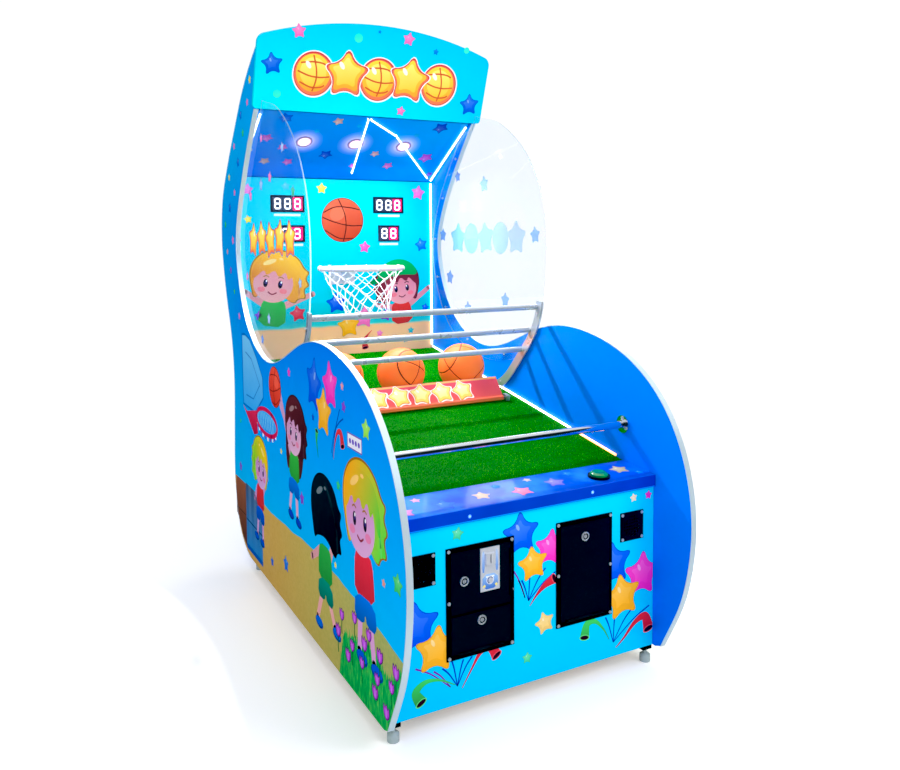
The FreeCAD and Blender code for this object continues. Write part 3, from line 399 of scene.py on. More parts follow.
def shelf_colour(mat):
    """Cloudy blue top over a deep blue face."""
    z = mat.split()[2]
    is_top = mat.math("GREATER_THAN", z, 0.6195)
    cloud = mat.remap(mat.noise(7.0, detail=3.0, rough=0.55), 0.38, 0.66)
    top = mat.mix(cloud, rgb(6, 78, 214), rgb(44, 138, 250))
    face = mat.hues(mat.remap(mat.noise(5.0, detail=2.0), 0.3, 0.7), (0.0, 0, 54, 184),
                    (1.0, 0, 66, 200))
    return mat.mix(is_top, face, top)


# ---------------------------------------------------------------- special materials
def led_strip():
    """Row of bright dots, warm at the low front of the right side."""
    mat = Material("led_strip_glow", rough=0.3)
    x, y, z = mat.split()
    pitch = 420.0
    along = mat.plus(mat.plus(mat.times(x, pitch), mat.times(y, pitch)), mat.times(z, pitch))
    dots = mat.remap(mat.math("SINE", along), -1.0, 1.0, 0.55, 1.0)
    low_right = mat.times(mat.math("GREATER_THAN", x, 0.4), mat.math("LESS_THAN", z, 0.86))
    warm = mat.times(low_right, mat.remap(y, -0.375, -0.43))
    mat.glow(mat.mix(warm, rgb(255, 250, 250), rgb(255, 150, 60)), mat.times(dots, 4.0))
    return mat.finish(rgb(235, 235, 240), bump=0.2, grain=500.0)


def lamp_lens():
    """White centre fading through pink to blue, with fine rings."""
    mat = Material("downlight_lens", rough=0.2)
    near = lamp_distance(mat)
    rings = mat.times(mat.math("SINE", mat.times(near, 900.0)), 0.0006)
    share = mat.remap(mat.plus(near, rings), 0.004, 0.0345)
    colour = mat.hues(share, (0.0, 255, 255, 255), (0.45, 255, 252, 252), (0.68, 255, 206, 226),
                      (0.84, 206, 128, 206), (0.95, 92, 98, 190), (1.0, 64, 84, 150))
    light = mat.greys(share, (0.0, 1), (0.40, 0.6), (0.60, 0.14), (0.80, 0.05), (1.0, 0.02))
    mat.glow(colour, mat.times(light, 12.0))
    return mat.finish(rgb(120, 120, 140), bump=0.05)


def birch_board():
    mat = Material("raw_birch_board", rough=0.55)
    wave = mat.node("TexWave", {"Vector": mat.stretched((1.0, 9.0, 1.0)), "Scale": 9.0,
                                "Distortion": 3.0, "Detail": 4.0}, "Fac")
    colour = mat.hues(wave, (0.0, 194, 158, 114), (0.5, 206, 171, 126), (1.0, 214, 182, 138))
    return mat.finish(colour, mottle=0.07, patch=14.0, bump=0.2, grain=260.0, bevel=0.001)


def green_cap():
    mat = Material("translucent_green_cap", rough=0.16, coat=0.6)
    mat.inputs["Subsurface Weight"].default_value = 0.25
    mat.inputs["Subsurface Radius"].default_value = (0.004, 0.012, 0.006)
    depth = mat.noise(30.0, detail=2.0)
    return mat.finish(mat.hues(depth, (0.3, 0, 116, 62), (0.7, 10, 160, 84)), bump=0.05)


def circuit_board():
    mat = Material("circuit_board", rough=0.35, coat=0.3)
    bricks = mat.node("TexBrick", {
        "Vector": mat.coords, "Scale": 38.0, "Color1": rgb(16, 92, 52),
        "Color2": rgb(24, 120, 66), "Mortar": rgb(200, 170, 80), "Mortar Size": 0.03}, "Color")
    return mat.finish(bricks, bump=0.3, grain=300.0)


def perforated_case():
    mat = Material("perforated_case", rough=0.38, metal=0.9)
    holes = mat.math("LESS_THAN", mat.cells(130.0, randomness=0.0), 0.26)
    return mat.finish(mat.mix(holes, rgb(170, 174, 178), rgb(24, 24, 26)), bump=0.1)


AZURE = vinyl("azure_laminate", (6, 126, 236))
# Material and the cabinet pieces that wear it; every other piece is azure.
PIECE_MATERIALS = [
    (vinyl("side_print_left", side_colour(-1.0)), "side_panel_left"),
    (vinyl("side_print_right", side_colour(1.0)), "side_panel_right"),
    (vinyl("front_print_with_painted_light", front_colour), "front_panel"),
    (vinyl("backboard_print_base", backboard_colour), "backboard"),
    (vinyl("ceiling_print_with_painted_lamp_glow", ceiling_colour), "ceiling_panel"),
    (vinyl("marquee_print_base", marquee_colour), "marquee_panel"),
    (vinyl("gate_print_base", gate_colour), "gate_flap"),
    (vinyl("shelf_deep_blue", shelf_colour, coat=0.5, coat_rough=0.08), "front_shelf"),
    (birch_board(), "play_deck floor_panel"),
    (plain("satin_edge_moulding", (222, 242, 254), rough=0.36, metal=0.45, mottle=0.05,
           bump=0.12, grain=180.0, depth=0.0004), "edge_trim_left edge_trim_right"),
    (acrylic(), "side_window_left side_window_right"),
    (plain("polished_tube", (226, 230, 236), rough=0.10, metal=1.0, mottle=0.03, spread=0.04,
           bump=0.03, grain=120.0), "hand_bar bar_flanges gate_shaft"),
    (plain("satin_tube", (206, 214, 224), rough=0.30, metal=0.5, coat=0.35, mottle=0.03,
           spread=0.05, bump=0.04, grain=160.0), "guard_rails"),
    (plain("satin_steel_strap", (206, 212, 222), rough=0.30, metal=0.6, coat=0.3, mottle=0.04,
           spread=0.05, bump=0.05, grain=200.0, bevel=0.0008), "guard_uprights"),
    (plain("nickel_screw", (206, 212, 220), rough=0.40, metal=0.55, mottle=0.03, bump=0.05),
     "panel_screws coin_lock_cam cash_lock_cam service_lock_cam"),
    (brushed_zinc(), "gate_bearings gate_motor gate_crank gate_rod cash_box "
                     "caster_fork_left caster_fork_right"),
    (plain("bright_faceplate", (236, 240, 248), rough=0.34, metal=0.45, coat=0.2, bump=0.1,
           grain=420.0, bevel=0.0008), "coin_acceptor coin_return_button"),
    (powder_coat("black_powder_coat", (7, 10, 15), fleck_and_glint_amount=0.5),
     "coin_door_frame service_door_frame"),
    (powder_coat("black_door_coat", (9, 17, 30), fleck_and_glint_amount=0.30),
     "coin_door cash_door service_door"),
    (powder_coat("black_plastic", (9, 10, 13), fleck_and_glint_amount=0.0), "button_bezel foot_blocks"),
    (plain("foot_nylon", (168, 182, 186), rough=0.45, bump=0.1, grain=240.0), "leveling_feet"),
    (led_strip(), "led_strips"),
    (lamp_lens(), "ceiling_lights"),
    (plain("grey_rubber", (96, 98, 102), rough=0.6, bump=0.3, grain=420.0, mottle=0.1),
     "caster_wheel_left caster_wheel_right rear_wheels"),
    (green_cap(), "start_button_cap"),
    (circuit_board(), "control_board"),
    (perforated_case(), "power_supply"),
    # Bright specks on the grilles are painted glints of the perforations.
    (powder_coat("speaker_grille_coat_painted_glints", (6, 8, 14), fleck_and_glint_amount=0.9), "speaker_grilles"),
    (plain("hoop_enamel", (236, 228, 240), rough=0.22, coat=0.5, mottle=0.04, bump=0.05),
     "hoop_ring"),
    (plain("display_smoked_panel", (34, 40, 58), rough=0.14, coat=0.6, mottle=0.05,
           bump=0.02), "score_displays"),
    (plain("cast_bracket", (214, 222, 234), rough=0.36, metal=0.4, bump=0.15, grain=200.0,
           bevel=0.001), "hoop_bracket"),
]


def dress_pieces():
    """Give each loaded piece its material and smooth faces with split edges."""
    material_of = {name: mat for mat, names in PIECE_MATERIALS for name in names.split()}
    for name, piece in NODES.items():
        mesh = piece.data
        mesh.materials.clear()
        mesh.materials.append(material_of.get(name, AZURE))
        mesh.polygons.foreach_set("material_index", [0] * len(mesh.polygons))
        mesh.polygons.foreach_set("use_smooth", [True] * len(mesh.polygons))
        piece.modifiers.new("weld", "WELD").merge_threshold = 0.00001
        piece.modifiers.new("edges", "EDGE_SPLIT").split_angle = math.radians(28)


dress_pieces()


# ---------------------------------------------------------------- mesh building
def add_object(name, data):
    new = bpy.data.objects.new(name, data)
    bpy.context.collection.objects.link(new)
    return new


def mesh_piece(name, verts, faces, mat, body="cabinet", colours=None, smooth=False):
    mesh = bpy.data.meshes.new(name)
    mesh.from_pydata([tuple(v) for v in verts], [], faces)
    if colours is not None:
        layer = mesh.color_attributes.new("Col", "FLOAT_COLOR", "POINT")
        layer.data.foreach_set("color", np.array(colours, dtype=np.float32).ravel())
    if smooth:
        mesh.polygons.foreach_set("use_smooth", [True] * len(mesh.polygons))
    work = bmesh.new()
    work.from_mesh(mesh)
    loose = [v for v in work.verts if not v.link_faces]
    if loose:
        bmesh.ops.delete(work, geom=loose, context="VERTS")
        work.to_mesh(mesh)
    work.free()
    mesh.materials.append(mat)
    mesh.update()
    piece = add_object(name, mesh)
    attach(piece, body)
    return piece


def tube(verts, faces, line, radius, sides):
    """Closed tube along a line; radius is a number or one per point."""
    base, last = len(verts), len(line) - 1
    across = None
    for i, point in enumerate(line):
        along = (line[min(i + 1, last)] - line[max(i - 1, 0)]).normalized()
        if across is None:
            across = along.orthogonal().normalized()
        else:
            across = (across - along * across.dot(along)).normalized()
        third = along.cross(across)
        size = radius[i] if isinstance(radius, list) else radius
        for k in range(sides):
            turn = 2 * math.pi * k / sides
            verts.append(point + (across * math.cos(turn) + third * math.sin(turn)) * size)
    for i in range(last):
        for k in range(sides):
            a, b = base + i * sides + k, base + i * sides + (k + 1) % sides
            faces.append((a, b, b + sides, a + sides))
    faces.append(tuple(base + k for k in range(sides))[::-1])
    faces.append(tuple(base + last * sides + k for k in range(sides)))


def lathe(verts, faces, centre, axis, profile, count, ring=False):
    """Turned body from (radius, distance along the axis) in mm; a ring closes on itself,
    any other profile gets two caps."""
    across = axis.orthogonal().normalized()
    third = axis.cross(across)
    base, rows = len(verts), len(profile)
    for radius, along in profile:
        for k in range(count):
            turn = 2 * math.pi * k / count
            spoke = across * math.cos(turn) + third * math.sin(turn)
            verts.append(centre + axis * (along * 1e-3) + spoke * (radius * 1e-3))
    for j in range(rows if ring else rows - 1):
        here, there = base + j * count, base + (j + 1) % rows * count
        for k in range(count):
            after = (k + 1) % count
            faces.append((here + k, there + k, there + after, here + after))
    if not ring:
        faces.append(tuple(base + k for k in range(count)))
        faces.append(tuple(base + (rows - 1) * count + k for k in range(count))[::-1])


# ---------------------------------------------------------------- outlines
def soften(outline, rounds=2):
    """Cut the corners of a closed outline."""
    for _ in range(rounds):
        cut = []
        for i, (x, y) in enumerate(outline):
            next_x, next_y = outline[(i + 1) % len(outline)]
            cut.append((x * 0.75 + next_x * 0.25, y * 0.75 + next_y * 0.25))
            cut.append((x * 0.25 + next_x * 0.75, y * 0.25 + next_y * 0.75))
        outline = cut
    return outline


def spline(points, count):
    """Catmull-Rom line with `count` steps per span."""
    line, last = [], len(points) - 1
    for i in range(last):
        corners = (points[max(0, i - 1)], points[i], points[i + 1], points[min(last, i + 2)])
        for k in range(count):
            t = k / count
            line.append(tuple(
                0.5 * (2 * b + (c - a) * t + (2 * a - 5 * b + 4 * c - d) * t * t
                       + (3 * b - a - 3 * c + d) * t ** 3) for a, b, c, d in zip(*corners)))
    line.append(tuple(points[-1]))
    return line


def ribbon(line, widths):
    left, right = [], []
    for i, (x, y) in enumerate(line):
        back, ahead = line[max(0, i - 1)], line[min(len(line) - 1, i + 1)]
        step_x, step_y = ahead[0] - back[0], ahead[1] - back[1]
        length = math.hypot(step_x, step_y) or 1.0
        half = 0.5 * widths[i]
        left.append((x - step_y / length * half, y + step_x / length * half))
        right.append((x + step_y / length * half, y - step_x / length * half))
    return left + right[::-1]


def band(line, start, end=None):
    """Ribbon whose width runs from start to end."""
    end = start if end is None else end
    last = len(line) - 1
    return ribbon(line, [start + (end - start) * i / last for i in range(last + 1)])


def star_outline(x, y, radius, turn=0.0, inner=0.50, squash=1.0):
    outline = []
    for i in range(10):
        angle = math.radians(turn) + math.pi / 2 + i * math.pi / 5
        reach = radius * 1.10 if i % 2 == 0 else radius * inner
        outline.append((x + reach * math.cos(angle) * squash, y + reach * math.sin(angle)))
    return soften(outline)


def oval(x, y, wide, tall=None, count=36, turn=0.0):
    tall = wide if tall is None else tall
    cos, sin = math.cos(math.radians(turn)), math.sin(math.radians(turn))
    outline = []
    for i in range(count):
        angle = 2 * math.pi * i / count
        a, b = wide * math.cos(angle), tall * math.sin(angle)
        outline.append((x + a * cos - b * sin, y + a * sin + b * cos))
    return outline


def box(left, right, low, high):
    return [(left, low), (right, low), (right, high), (left, high)]


def clip_outline(outline, left, right, low, high):
    for axis, limit, above in ((0, left, True), (0, right, False),
                               (1, low, True), (1, high, False)):
        kept = []
        for i, here in enumerate(outline):
            back = outline[i - 1]
            back_in, here_in = ((p[axis] >= limit) == above or p[axis] == limit
                                for p in (back, here))
            if back_in != here_in:
                kept.append(blend(back, here, (limit - back[axis]) / (here[axis] - back[axis])))
            if here_in:
                kept.append(here)
        outline = kept
    return outline


# ---------------------------------------------------------------- printed motifs
BALL_SEAMS = [[(-0.98, 0.12), (-0.4, -0.10), (0.35, -0.26), (0.96, -0.25)],
              [(-0.93, 0.34), (-0.35, 0.60), (0.35, 0.58), (0.86, 0.48)],
              [(-0.86, -0.48), (-0.2, -0.84), (0.4, -0.86), (0.52, -0.85)],
              [(-0.20, 0.97), (0.10, 0.30), (0.16, -0.35), (0.02, -0.99)]]
BUBBLE_SEAMS = [[(-0.74, 0.06), (-0.2, -0.12), (0.3, -0.16), (0.76, -0.10)],
                [(-0.62, 0.42), (-0.1, 0.50), (0.35, 0.48), (0.62, 0.38)],
                [(-0.62, -0.42), (-0.1, -0.62), (0.35, -0.60), (0.55, -0.50)],
                [(-0.05, 0.80), (0.12, 0.2), (0.14, -0.3), (0.0, -0.80)]]
# Layers inside the rim of a bubble: size, shift x, shift y, colour, far colour, angle
BUBBLE_LAYERS = [(1.09, 1.0, -2, (214, 62, 66), None, 90),
                 (1.03, 0.5, -3, (255, 128, 84), (246, 110, 84), 90),
                 (0.93, -0.5, 1, (255, 170, 54), (255, 226, 70), 95),
                 (0.72, -1.0, 4, (255, 206, 60), (255, 244, 120), 100)]
# Figure outlines in head radii from the centre of the head
LONG_HAIR = [(-1.05, 0.3), (-1.1, -0.9), (-0.8, -1.75), (-0.45, -1.5), (-0.1, -1.9), (0.3, -1.5),
             (0.75, -1.7), (1.05, -0.8), (1.08, 0.3)]
SHIRT = [(-0.40, -0.80), (0.40, -0.80), (0.56, -1.10), (0.60, -1.95), (-0.60, -1.95),
         (-0.56, -1.10)]
SHORTS = [(-0.58, -1.85), (0.58, -1.85), (0.68, -2.50), (0.08, -2.50), (0.0, -2.22),
          (-0.08, -2.50), (-0.68, -2.50)]
HAIR = [(-1.02, -0.35), (-1.16, 0.15), (-1.08, 0.70), (-0.70, 1.12), (-0.15, 1.30), (0.42, 1.24),
        (0.88, 0.98), (1.12, 0.62), (1.38, 0.50), (1.20, 0.22), (1.44, -0.06), (1.18, -0.22),
        (1.36, -0.62), (1.02, -0.62), (0.84, -0.92), (0.2, -0.5), (-0.6, -0.6), (-0.86, -0.82)]
FRINGE = [(-1.06, -0.05), (-1.10, 0.45), (-0.74, 1.00), (0.0, 1.16), (0.72, 0.92), (1.06, 0.40),
          (1.06, -0.30), (0.84, -0.10), (0.72, 0.34), (0.50, 0.02), (0.36, 0.46), (0.08, 0.10),
          (-0.12, 0.48), (-0.46, 0.14), (-0.58, 0.44), (-0.86, 0.10)]
CAP = [(-1.18, 0.42), (-0.95, 1.05), (-0.3, 1.40), (0.4, 1.36), (0.98, 1.0), (1.20, 0.42),
       (0.4, 0.56), (-0.4, 0.56)]
CAP_PEAK = [(0.55, 0.62), (1.75, 0.45), (1.66, 0.22), (0.5, 0.38)]


class Print:
    """Very thin closed shapes on one plane, built as one mesh with a colour per point.

    Outlines are in mm along `across` and `up`; clip is (left, right, low, high). Each shape
    lies one level above the last; at() sets the level of the next."""

    def __init__(self, name, origin, across=(1, 0, 0), up=(0, 0, 1), out=(0, -1, 0), clip=None,
                 step=0.00003):
        self.name, self.origin, self.clip, self.step = name, Vector(origin), clip, step
        self.across, self.up, self.out = (Vector(v).normalized() for v in (across, up, out))
        self.sign = 1.0 if self.across.cross(self.up).dot(self.out) > 0 else -1.0
        self.level = 0
        self.verts, self.faces, self.colours = [], [], []

    def at(self, level):
        self.level = level
        return self

    def poly(self, outline, colour, far_colour=None, angle=90.0):
        """One shape, shaded from colour to far_colour in the direction of angle."""
        if self.clip:
            outline = clip_outline(outline, *self.clip)
        points = []
        for p in outline:
            if not points or math.dist(p, points[-1]) > 0.05:
                points.append(p)
        while len(points) > 2 and math.dist(points[0], points[-1]) <= 0.05:
            points.pop()
        count = len(points)
        if count < 3:
            return
        area = sum(points[i - 1][0] * points[i][1] - points[i][0] * points[i - 1][1]
                   for i in range(count))
        if area * self.sign < 0:
            points = points[::-1]
        cos, sin = math.cos(math.radians(angle)), math.sin(math.radians(angle))
        reach = [x * cos + y * sin for x, y in points]
        low, high = min(reach), max(reach)
        ends = rgb(*colour), rgb(*(colour if far_colour is None else far_colour))
        shades = [blend(*ends, (v - low) / (high - low) if high > low else 0.0) for v in reach]
        top = self.step * (self.level + 1)
        bottom = 0.000005 + self.step * 0.27 * self.level
        self.level += 1
        base = len(self.verts)
        for height in (top, bottom):
            for x, y in points:
                self.verts.append(tuple(self.origin + self.across * (x / 1000.0)
                                        + self.up * (y / 1000.0) + self.out * height))
        self.colours += shades + shades
        for a, b, c in geometry.tessellate_polygon([[Vector((x, y, 0.0)) for x, y in points]]):
            start, second, third = points[a], points[b], points[c]
            turn = ((second[0] - start[0]) * (third[1] - start[1])
                    - (third[0] - start[0]) * (second[1] - start[1]))
            if turn * self.sign < 0:
                b, c = c, b
            self.faces.append((base + a, base + b, base + c))
            self.faces.append((base + count + a, base + count + c, base + count + b))
        for i in range(count):
            j = (i + 1) % count
            self.faces.append((base + i, base + count + i, base + count + j, base + j))

    def together(self, outlines, colour):
        """Several shapes on one level."""
        level = self.level
        for outline in outlines:
            self.at(level).poly(outline, colour)
        self.level = level + 1

    def seams(self, x, y, radius, seams, count, width, colour):
        return [band(spline([(x + a * radius, y + b * radius) for a, b in seam], count), width)
                for seam in seams]

    def star(self, x, y, radius, colour, turn=0.0, squash=1.0, puffy_over=17):
        light = paler(colour, 0.26)
        self.poly(star_outline(x, y, radius, turn, squash=squash),
                  blend(colour, (0, 0, 60), 0.16))
        self.poly(star_outline(x, y, radius * 0.95, turn, squash=squash),
                  blend(colour, (0, 0, 80), 0.04), paler(colour, 0.16), 100)
        if radius > puffy_over:
            self.poly(star_outline(x - 0.03 * radius, y + 0.05 * radius, radius * 0.58, turn,
                                   squash=squash), blend(colour, light, 0.2), light, 110)
            self.poly(oval(x - 0.16 * radius * squash, y + 0.30 * radius, 0.07 * radius,
                           0.15 * radius, 14, 25), paler(light, 0.35))

    def stars(self, rows, turn, puffy_over=17):
        """Stars from rows of x, y, radius, colour, each turned at random."""
        for x, y, radius, colour in rows:
            self.at(0).star(x, y, radius, colour, rnd.uniform(-turn, turn),
                            puffy_over=puffy_over)

    def spray(self, base, ends, colour=(20, 50, 190)):
        """Streamers fanning out from one point."""
        lines = []
        for end in ends:
            middle = (base[0] * 0.45 + end[0] * 0.55, base[1] * 0.35 + end[1] * 0.65)
            lines.append(band(spline([base, middle, end], 8), 3.0, 5.5))
        self.together(lines, colour)

    def horn(self, points, width, colour):
        """Curled party horn that widens to an open dark mouth."""
        line = spline(points, 12)
        last = len(line) - 1
        widths = [width * (0.07 + 0.93 * (i / last) ** 1.6) for i in range(last + 1)]
        self.poly(ribbon(line, widths), blend(colour, (60, 0, 20), 0.30), paler(colour, 0.08))
        x, y = line[-1]
        turn = math.degrees(math.atan2(y - line[-3][1], x - line[-3][0])) + 90
        self.poly(oval(x, y, width * 0.52, width * 0.25, 24, turn), paler(colour, 0.25))
        self.poly(oval(x, y, width * 0.42, width * 0.18, 24, turn), (46, 14, 34))

    def ball(self, x, y, radius, colour, seam_colour):
        self.poly(oval(x, y, radius * 1.03, count=56), blend(colour, (60, 10, 0), 0.5))
        self.poly(oval(x, y, radius, count=56), blend(colour, (120, 20, 0), 0.30),
                  blend(colour, (255, 220, 180), 0.14), 115)
        self.poly(oval(x - 0.25 * radius, y + 0.30 * radius, radius * 0.40, radius * 0.32, 28,
                       30), blend(colour, (255, 220, 180), 0.20))
        width = max(1.6, radius * 0.045)
        for seam in self.seams(x, y, radius, BALL_SEAMS, 10, width, seam_colour):
            self.poly(seam, seam_colour)

    def bubble(self, x, y, radius, kind, turn=0.0, rim=(255, 244, 246)):
        """Puffy star or ball with an outline, shading and a highlight."""
        for size, shift_x, shift_y, colour, far_colour, angle in (
                (1.16, 1.5, -3, rim, None, 90), *BUBBLE_LAYERS):
            at_x, at_y, reach = x + shift_x, y + shift_y, radius * size
            if kind == "star":
                outline = star_outline(at_x, at_y, reach, turn, 0.58)
            else:
                outline = oval(at_x, at_y, reach * 0.86, reach * 0.90, 44)
            self.poly(outline, colour, far_colour, angle)
        if kind == "ball":
            seam_colour = (226, 96, 52)
            self.together(self.seams(x, y, radius, BUBBLE_SEAMS, 8, radius * 0.07,
                                     seam_colour), seam_colour)
        self.poly(oval(x - 0.26 * radius, y + 0.36 * radius, radius * 0.10, radius * 0.19, 16,
                       35), (255, 255, 235))

    def kid(self, x, y, radius, hair, tips, skin, shirt, shorts=None, shoe=None, *, arms,
            flip=1, tilt=0.0, cap=None, face=True, long_hair=False, stride=0.12,
            hair_angle=60.0):
        """Simple child figure round a head of the given radius; no shoes means no legs."""
        cos, sin = math.cos(math.radians(tilt)), math.sin(math.radians(tilt))

        def place(outline):
            return [(x + radius * (a * flip * cos - b * sin),
                     y + radius * (a * flip * sin + b * cos)) for a, b in outline]

        def draw(outline, colour, far_colour=None, angle=90.0):
            self.poly(place(outline), colour, far_colour, angle)

        def limb(start, end, wide, thin, colour):
            middle = ((start[0] + end[0]) / 2, (start[1] + end[1]) / 2)
            self.together([place(band([start, middle, end], wide, thin)),
                           place(oval(*end, thin * 0.55, count=14))], colour)

        edge = darker(hair, 0.35)
        if shoe:
            for side in (-1, 1):
                foot = (side * 0.34 + stride * side,
                        -3.25 + (0.25 if side * stride > 0.3 else 0))
                limb((side * 0.30, -2.3), foot, 0.28, 0.24, skin)
                draw(oval(foot[0] + 0.14, foot[1] - 0.10, 0.34, 0.17, 20), darker(shoe, 0.3))
                draw(oval(foot[0] + 0.14, foot[1] - 0.07, 0.30, 0.13, 20), shoe)
        if long_hair:
            draw(soften(LONG_HAIR), darker(hair, 0.2), hair)
        for shoulder, hand in zip((-0.42, 0.42), arms):
            limb((shoulder, -1.05), hand, 0.30, 0.22, blend(skin, (120, 60, 120), 0.12))
        draw(soften(SHIRT, 1), darker(shirt, 0.16), shirt)
        if shoe:
            draw(soften(SHORTS, 1), darker(shorts, 0.22), shorts)
        draw([(a * 1.05, b * 1.045) for a, b in soften(HAIR)], edge)
        draw(soften(HAIR), tips, hair, hair_angle)
        strands = [[(0.10 + 0.1 * k, 1.10 - 0.12 * k), (0.62 + 0.12 * k, 0.66 - 0.2 * k),
                    (1.00 + 0.02 * k, 0.0 - 0.22 * k)] for k in range(4)]
        self.together([place(band(spline(strand, 6), 0.035, 0.07)) for strand in strands],
                      paler(tips, 0.18))
        if face:
            draw(oval(-0.12, -0.14, 0.86, 0.80), blend(skin, (150, 60, 140), 0.25),
                 paler(skin, 0.12), 250)
            for side in (-1, 1):
                eye = -0.14 + side * 0.32
                draw(oval(-0.14 + side * 0.48, -0.42, 0.17, 0.11, 16),
                     blend(skin, (255, 70, 110), 0.35))
                draw(oval(eye, -0.14, 0.10, 0.17, 18), (40, 26, 46))
                draw(oval(eye + 0.02, -0.10, 0.055, 0.085, 14), (70, 50, 130))
                draw(oval(eye + 0.035, -0.05, 0.035, 0.05, 10), (255, 255, 255))
                brow = [(eye - 0.12, 0.12), (eye, 0.17), (eye + 0.12, 0.12)]
                draw(band(spline(brow, 5), 0.04), edge)
            mouth = [(-0.32, -0.50), (-0.13, -0.59), (0.06, -0.50)]
            draw(band(spline(mouth, 6), 0.05), (150, 40, 70))
            draw(soften(FRINGE), darker(tips, 0.06), hair, hair_angle)
        draw(oval(-0.38, 0.76, 0.30, 0.10, 16, 25), paler(hair, 0.40))
        draw(oval(0.10, 0.94, 0.10, 0.05, 12, -5), paler(hair, 0.40))
        if cap:
            draw(soften(CAP), darker(cap, 0.15), cap)
            draw(soften(CAP_PEAK), darker(cap, 0.25))

    def tulip(self, x, y, size, stem):
        purple = (168, 46, 205)

        def scaled(outline):
            return [(x + a * size, y + b * size) for a, b in outline]

        if stem:
            line = scaled([(0, -20), (3, -46), (0, -74)])
            self.poly(band(spline(line, 5), 4.5 * size), (20, 120, 60))
        rim = [(-20, 24), (-24, -8), (0, -28), (24, -8), (20, 24), (9, 8), (0, 28), (-9, 8)]
        cup = [(-17, 19), (-20, -7), (0, -24), (20, -7), (17, 19), (8, 5), (0, 23), (-8, 5)]
        self.poly(soften(scaled(rim), 1), (95, 20, 130))
        self.poly(soften(scaled(cup), 1), purple, blend(purple, (255, 150, 255), 0.4))
        self.poly(oval(x, y - 4 * size, 7 * size, 14 * size, 14), (205, 110, 235))

    def eight(self, x, y, width, height, bar, colour):
        """All seven bars of a digit."""
        reach_x, reach_y, half = (width - bar) / 2, (height - bar) / 2, bar / 2
        gap = bar * 0.62 * 0.15
        bars = []
        for row in (1, 0, -1):
            bar_y, long = y + row * reach_y, reach_x - gap
            bars.append([(x - long, bar_y), (x - long + half, bar_y + half),
                         (x + long - half, bar_y + half), (x + long, bar_y),
                         (x + long - half, bar_y - half), (x - long + half, bar_y - half)])
        for side, row in ((-1, 0.5), (1, 0.5), (-1, -0.5), (1, -0.5)):
            bar_x, bar_y, long = x + side * reach_x, y + row * reach_y, reach_y / 2 - gap
            bars.append([(bar_x, bar_y + long), (bar_x + half, bar_y + long - half),
                         (bar_x + half, bar_y - long + half), (bar_x, bar_y - long),
                         (bar_x - half, bar_y - long + half),
                         (bar_x - half, bar_y + long - half)])
        self.together(bars, colour)

    def done(self, mat, body="cabinet"):
        mesh_piece(self.name, self.verts, self.faces, mat, body, self.colours)


PRINT = print_material("printed_art")
BLUE, MAGENTA, ORANGE, PINK = (0, 84, 235), (255, 40, 190), (255, 176, 20), (255, 110, 190)
YELLOW, GREEN, PURPLE, TAN = (255, 232, 60), (40, 205, 120), (128, 50, 205), (240, 200, 110)
RED, HORN_RED, HORN_GREEN = (235, 30, 60), (226, 26, 48), (50, 205, 84)
MINT, SALMON = (60, 210, 150), (240, 150, 160)

# ---------------------------------------------------------------- side art
# Small stars: y, z, radius, colour
LOWER_SIDE_STARS = [
    (791, 865, 19, MAGENTA), (267, 896, 15, SALMON), (257, 837, 20, PURPLE),
    (537, 754, 14, (10, 60, 200)), (87, 803, 34, (150, 230, 70)), (313, 588, 19, GREEN),
    (670, 449, 26, PURPLE), (1518, 357, 25, PURPLE), (-112, 440, 34, (60, 205, 100)),
    (-22, 411, 14, (240, 150, 130)), (1056, 96, 22, (0, 90, 220)), (874, 150, 34, (0, 100, 225)),
    (1500, 560, 13, GREEN), (905, 560, 13, YELLOW), (350, 330, 12, YELLOW)]
UPPER_SIDE_STARS = [
    (1560, 1330, 22, PINK), (1690, 1400, 20, GREEN), (1600, 1470, 26, (0, 96, 225)),
    (1510, 1530, 18, PINK), (1600, 1600, 18, YELLOW), (1440, 1650, 24, (0, 90, 225)),
    (1500, 1722, 18, PINK), (1350, 1760, 20, GREEN), (1380, 1835, 24, (0, 100, 230)),
    (1270, 1870, 18, PINK), (1226, 1950, 20, YELLOW), (1610, 1200, 20, PURPLE),
    (1556, 1110, 16, (60, 205, 100)), (1665, 1280, 16, SALMON), (1480, 1010, 18, PINK)]
TULIPS = [(195, 228), (333, 134), (216, 136), (121, 182), (87, 222), (251, 91), (142, 118),
          (10, 196), (30, 122), (-96, 200), (-66, 146), (46, 78), (300, 196), (-30, 60)]


def painted_column(art):
    """Brown block and grey-blue planks at the low rear."""
    art.at(0).poly([(1604, 134), (1612, 240), (1604, 298), (1440, 300), (1440, 30), (1500, 52),
                    (1558, 108)], (96, 52, 44), (156, 92, 64))
    for k in range(6):
        art.at(1).poly(box(1190 + k * 41.7, 1190 + (k + 1) * 41.7, 26, 306), (40, 138, 214),
                       (70, 92, 128) if k % 2 else (92, 116, 150))
    art.at(2).poly(box(1190, 1440, 26, 46), (10, 90, 190))
    art.at(2).poly(box(1190, 1440, 150, 156), (30, 70, 120))
    art.at(2).poly([(1452, 160), (1600, 158), (1600, 162), (1452, 165)], (60, 30, 30))


